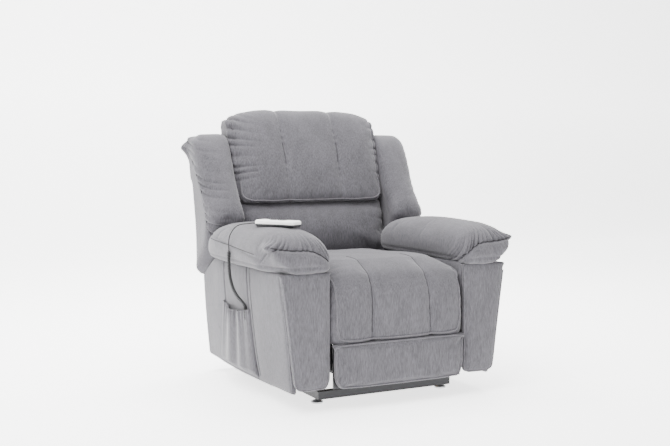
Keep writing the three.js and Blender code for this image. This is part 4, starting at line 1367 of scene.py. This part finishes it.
# ---- seat and footrest -----------------------------------------------------------------
class ChairSeat(bpy.types.Operator):
    """Seat cushion that rolls over the front edge in three channels"""
    bl_idname = "chair.seat"
    bl_label = "Seat cushion"

    def execute(self, context):
        half = SEAT_HIGH[0] + 0.007
        front, rear = SEAT_LOW[1], SEAT_HIGH[1]
        low, high = SEAT_LOW[2], SEAT_HIGH[2]
        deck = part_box("seat_deck")[1][2] + 0.004
        profile = smooth_loop([
            (front + 0.056, deck), (front + 0.054, low + 0.036), (front + 0.044, low + 0.004),
            (front + 0.020, low), (front + 0.003, low + 0.014), (front, (low + high) / 2 - 0.02),
            (front + 0.002, high - 0.095), (front + 0.020, high - 0.044), (front + 0.060, high - 0.012),
            (front + 0.12, high - 0.001), (-0.20, high), (0.0, high - 0.010), (rear - 0.03, high - 0.016),
            (rear - 0.004, high - 0.034), (rear - 0.002, deck + 0.030), (rear - 0.020, deck),
            (0.0, deck), (front + 0.20, deck)])

        def section(x):
            u = abs(x) / half
            ring = profile.copy()
            fore = np.clip((front + 0.12 - ring[:, 0]) / 0.12, 0, 1)
            top = np.clip((ring[:, 1] - deck) / (high - deck), 0, 1)
            foot = np.clip((low + 0.06 - ring[:, 1]) / 0.06, 0, 1) * (ring[:, 0] < front + 0.06)
            ring[:, 0] += 0.022 * u ** 9 * fore * (ring[:, 0] < front + 0.03)
            ring[:, 1] -= 0.022 * u ** 8 * top
            ring[:, 1] += 0.014 * np.clip((u - 0.90) / 0.10, 0, 1) ** 2.4 * foot - 0.010 * foot
            return ring

        solid = loft(ease(40, half), section)

        def seam_x(z, sx):
            drop = np.clip((high - z) / (high - low), 0, 1)
            return sx * (0.112 + 0.006 * drop) + 0.008 * drop

        def sewn(p):
            x, y, z = p.T
            face = (y < front + 0.13)
            seams = sum(np.abs(x - seam_x(z, sx)) < 0.006 for sx in (-1, 1)) * face * (y < front + 0.07)
            return seams + (z < deck + 0.010) * (y > front + 0.045) + (z < low + 0.018)

        piece = cushion("seat_cushion_cover", solid, held=sewn, swell=0.016)

        def shape(p, n):
            x, y, z = p.T
            face = step(-y, -front - 0.16, -front - 0.05) * step(np.maximum(-n[:, 1], n[:, 2]), 0.2, 0.5)
            move = np.zeros(len(p))
            for sx in (-1, 1):
                away = x - seam_x(z, sx)
                pucker = 0.8 + 0.2 * np.sin(z * 170 + 2 * np.sin(z * 60))
                move -= face * bell(away, 0.0060) * 0.0060 * pucker
                move -= face * bell(away, 0.026) * 0.0050
            top = step(n[:, 2], 0.5, 0.9)
            move += top * 0.006 * (1 - (x / half) ** 4)
            move -= step(np.abs(n[:, 0]), 0.4, 0.8) * 0.0008
            edge = half - np.abs(x)
            crease = folds(z + y, 0.060, 3.1)
            move -= face * np.exp(-edge / 0.040) * crease * 0.0035
            drift = np.sin(x * 12 + 2.0) * np.sin(y * 10 + z * 12) + 0.5 * np.sin(x * 27 + y * 19 + z * 15)
            return move + drift * 0.0016 * step(y, -0.5, -0.45)

        push(piece, shape)
        settle(piece, "carrier", "upholstery", ("seat_cushion",))
        y = front - 0.004
        side = half - 0.012
        route = [(-side, front + 0.10, high - 0.016), (-side, front + 0.024, high - 0.05),
                 (-side, y, high - 0.12), (-side, y, (low + high) / 2), (-side + 0.003, y, low + 0.05),
                 (-side + 0.016, y, low + 0.014), (-side + 0.05, y, low + 0.004)]
        flip = [(-a, b, c) for a, b, c in reversed(route)]
        route += [(x, y, low + 0.003) for x in (-0.12, 0.0, 0.12)] + flip
        piping("seat_piping", piece, route, "carrier")
        for side, sx in SIDES:
            path = [(front - 0.02, low + 0.010), (front - 0.03, 0.30), (front - 0.03, 0.38),
                    (front - 0.02, 0.44), (front + 0.03, high + 0.02), (front + 0.11, high + 0.03),
                    (front + 0.20, high + 0.03)]
            core = (front + 0.20, 0.36)
            spots = [(seam_x(z, sx), y, z) for y, z in path]
            seam(f"seat_seam_{side}", piece, spots, "carrier", SEAM_SHADE_RADIUS,
                 lambda p: (0, core[0] - p[1], core[1] - p[2]))
        return {"FINISHED"}


class ChairFootrest(bpy.types.Operator):
    """Boxed and piped footrest panel"""
    bl_idname = "chair.footrest"
    bl_label = "Footrest panel"

    def execute(self, context):
        half = REST_HIGH[0]
        front = REST_LOW[1]
        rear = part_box("footrest_board")[0][1] - 0.0006
        low, high = REST_LOW[2], REST_HIGH[2]
        high += 0.003
        left = [(-half + 0.002, high - 0.02), (-half + 0.001, (low + high) / 2),
                (-half + 0.004, low + 0.04), (-half + 0.020, low + 0.010), (-half + 0.060, low + 0.003)]
        right = [(-a, b) for a, b in reversed(left)]
        edge = smooth_loop([*left, (0.0, low + 0.001), *right, (half - 0.010, high - 0.001),
                            (0.0, high), (-half + 0.010, high - 0.001)], 8)
        verts, faces = bolster(edge, front, rear, 0.006, axis=1)
        faces = [tuple(reversed(f)) for f in faces]
        piece = cushion("footrest_cover", (verts, faces), cell=0.005,
                        held=lambda p: p[:, 1] > front + 0.010, swell=0.004, relax=2)

        def shape(p, n):
            x, z = p[:, 0], p[:, 2]
            out = step(-n[:, 1], 0.3, 0.8)
            tall = np.clip((z - low) / (high - low), 0, 1)
            crown = (1 - (x / half) ** 6) * (1 - (2 * tall - 1) ** 4)
            ripple = np.sin(x * 10 + 0.9) * np.sin(z * 26 + 0.3) + 0.4 * np.sin(x * 31 + z * 23)
            return out * (crown * 0.004 + ripple * 0.001)

        push(piece, shape, (0, -1, 0))
        settle(piece, "footrest", "upholstery", ("footrest_pad",))
        y = front + 0.001
        inset = half - 0.008
        rim = [(-inset, y, high - 0.03), (-inset, y, (low + high) / 2), (-inset + 0.002, y, low + 0.045),
               (-inset + 0.014, y, low + 0.016), (-inset + 0.05, y, low + 0.007), (0.0, y, low + 0.006)]
        rim += [(-a, b, c) for a, b, c in reversed(rim[:-1])]
        rim += [(inset - 0.012, y, high - 0.009), (0.0, y, high - 0.006),
                (-inset + 0.012, y, high - 0.009)]
        piping("footrest_piping", piece, rim, "footrest", closed=True)
        return {"FINISHED"}


# ---- base, feet and finishes -----------------------------------------------------------
def turned(name, profile, centre, kind, spokes=40):
    """A lathe-turned piece about a vertical line."""
    verts = []
    for radius, z in profile:
        for k in range(spokes):
            a = 2 * np.pi * k / spokes
            x, y = centre[0] + radius * math.cos(a), centre[1] + radius * math.sin(a)
            verts.append((x, y, centre[2] + z))
    return new_piece(name, verts, closed_bands(len(profile), spokes), kind)


class ChairFeet(bpy.types.Operator):
    """Levelling feet: plated puck and black threaded stem"""
    bl_idname = "chair.feet"
    bl_label = "Levelling feet"

    def execute(self, context):
        for end in ("front", "rear"):
            for side, _ in SIDES:
                node = f"levelling_foot_{end}_{side}"
                low, high = corners(node)
                centre = ((low[0] + high[0]) / 2, (low[1] + high[1]) / 2, 0.0)
                radius = (high[0] - low[0]) / 2
                puck = [(radius - 0.003, 0.0), (radius - 0.001, 0.001), (radius, 0.003), (radius, 0.0075),
                        (radius - 0.001, 0.009), (radius - 0.006, 0.0115), (0.011, 0.0125),
                        (0.009, 0.0125)]
                foot = turned(f"foot_puck_{end}_{side}", puck, centre, "zinc")
                smooth_shade(foot)
                settle(foot, "base", "zinc_steel", (node,))
                thread = [(0.0068, 0.0126)]
                for i in range(7):
                    z = 0.0132 + i * 0.0012
                    thread += [(0.0058, z), (0.0069, z + 0.0006)]
                stem = turned(f"foot_stem_{end}_{side}", thread, centre, "black", 24)
                smooth_shade(stem)
                settle(stem, "base", "black_plastic")
        return {"FINISHED"}


class ChairFinishes(bpy.types.Operator):
    """Finishes of the steel, timber and plastic parts"""
    bl_idname = "chair.finishes"
    bl_label = "Part finishes"

    def execute(self, context):
        kinds = {
            "black_steel": "steel", "zinc_steel": "zinc", "frame_wood": "wood", "black_plastic": "black",
            "white_plastic": "white", "cord_rubber": "cord", "upholstery": "cloth", "rear_cloth": "rear"}
        for entry in frame["record"]["subparts"]:
            node = NODES[entry["node"]]
            # the back's timber frame takes the black lining cloth: painted shade in the gaps around the
            # back cushions and rear cover
            kind = "lining" if entry["node"] == "back_frame" else kinds[entry["material_slot"]]
            material = finish_of(kind)
            if not node.material_slots:
                node.data.materials.append(material)
            for slot in node.material_slots:
                slot.material = material
        return {"FINISHED"}


class CHAIR_PT_panel(bpy.types.Panel):
    """Pieces of the chair"""
    bl_idname = "CHAIR_PT_panel"
    bl_label = "Lift recliner chair"
    bl_space_type = "VIEW_3D"
    bl_region_type = "UI"
    bl_category = "Chair"

    def draw(self, context):
        column = self.layout.column()
        for group in ("chair_fabric", "chair_padding", "chair_cord", "chair_studio"):
            holder = getattr(context.scene, group)
            for key in holder.__annotations__:
                column.prop(holder, key)
        for step_class in STEPS:
            column.operator(step_class.bl_idname)


STEPS = (ChairStage, ChairCordMaker, ChairHeadPillow, ChairLumbar, ChairWings, ChairRear, ChairArmPads,
         ChairArmPanels, ChairPocket, ChairSeat, ChairFootrest, ChairFeet, ChairFinishes)
GROUPS = {"chair_fabric": ChairFabric, "chair_padding": ChairPadding, "chair_cord": ChairCord,
          "chair_studio": ChairStudio}


def register():
    for kind in (*GROUPS.values(), *STEPS, CHAIR_PT_panel):
        bpy.utils.register_class(kind)
    for name, kind in GROUPS.items():
        setattr(bpy.types.Scene, name, bpy.props.PointerProperty(type=kind))


def unregister():
    for name in GROUPS:
        delattr(bpy.types.Scene, name)
    for kind in (*GROUPS.values(), *STEPS, CHAIR_PT_panel):
        bpy.utils.unregister_class(kind)


def main():
    register()
    for kind in STEPS:
        group, name = kind.bl_idname.split(".")
        getattr(getattr(bpy.ops, group), name)()


if __name__ == "__main__":
    main()
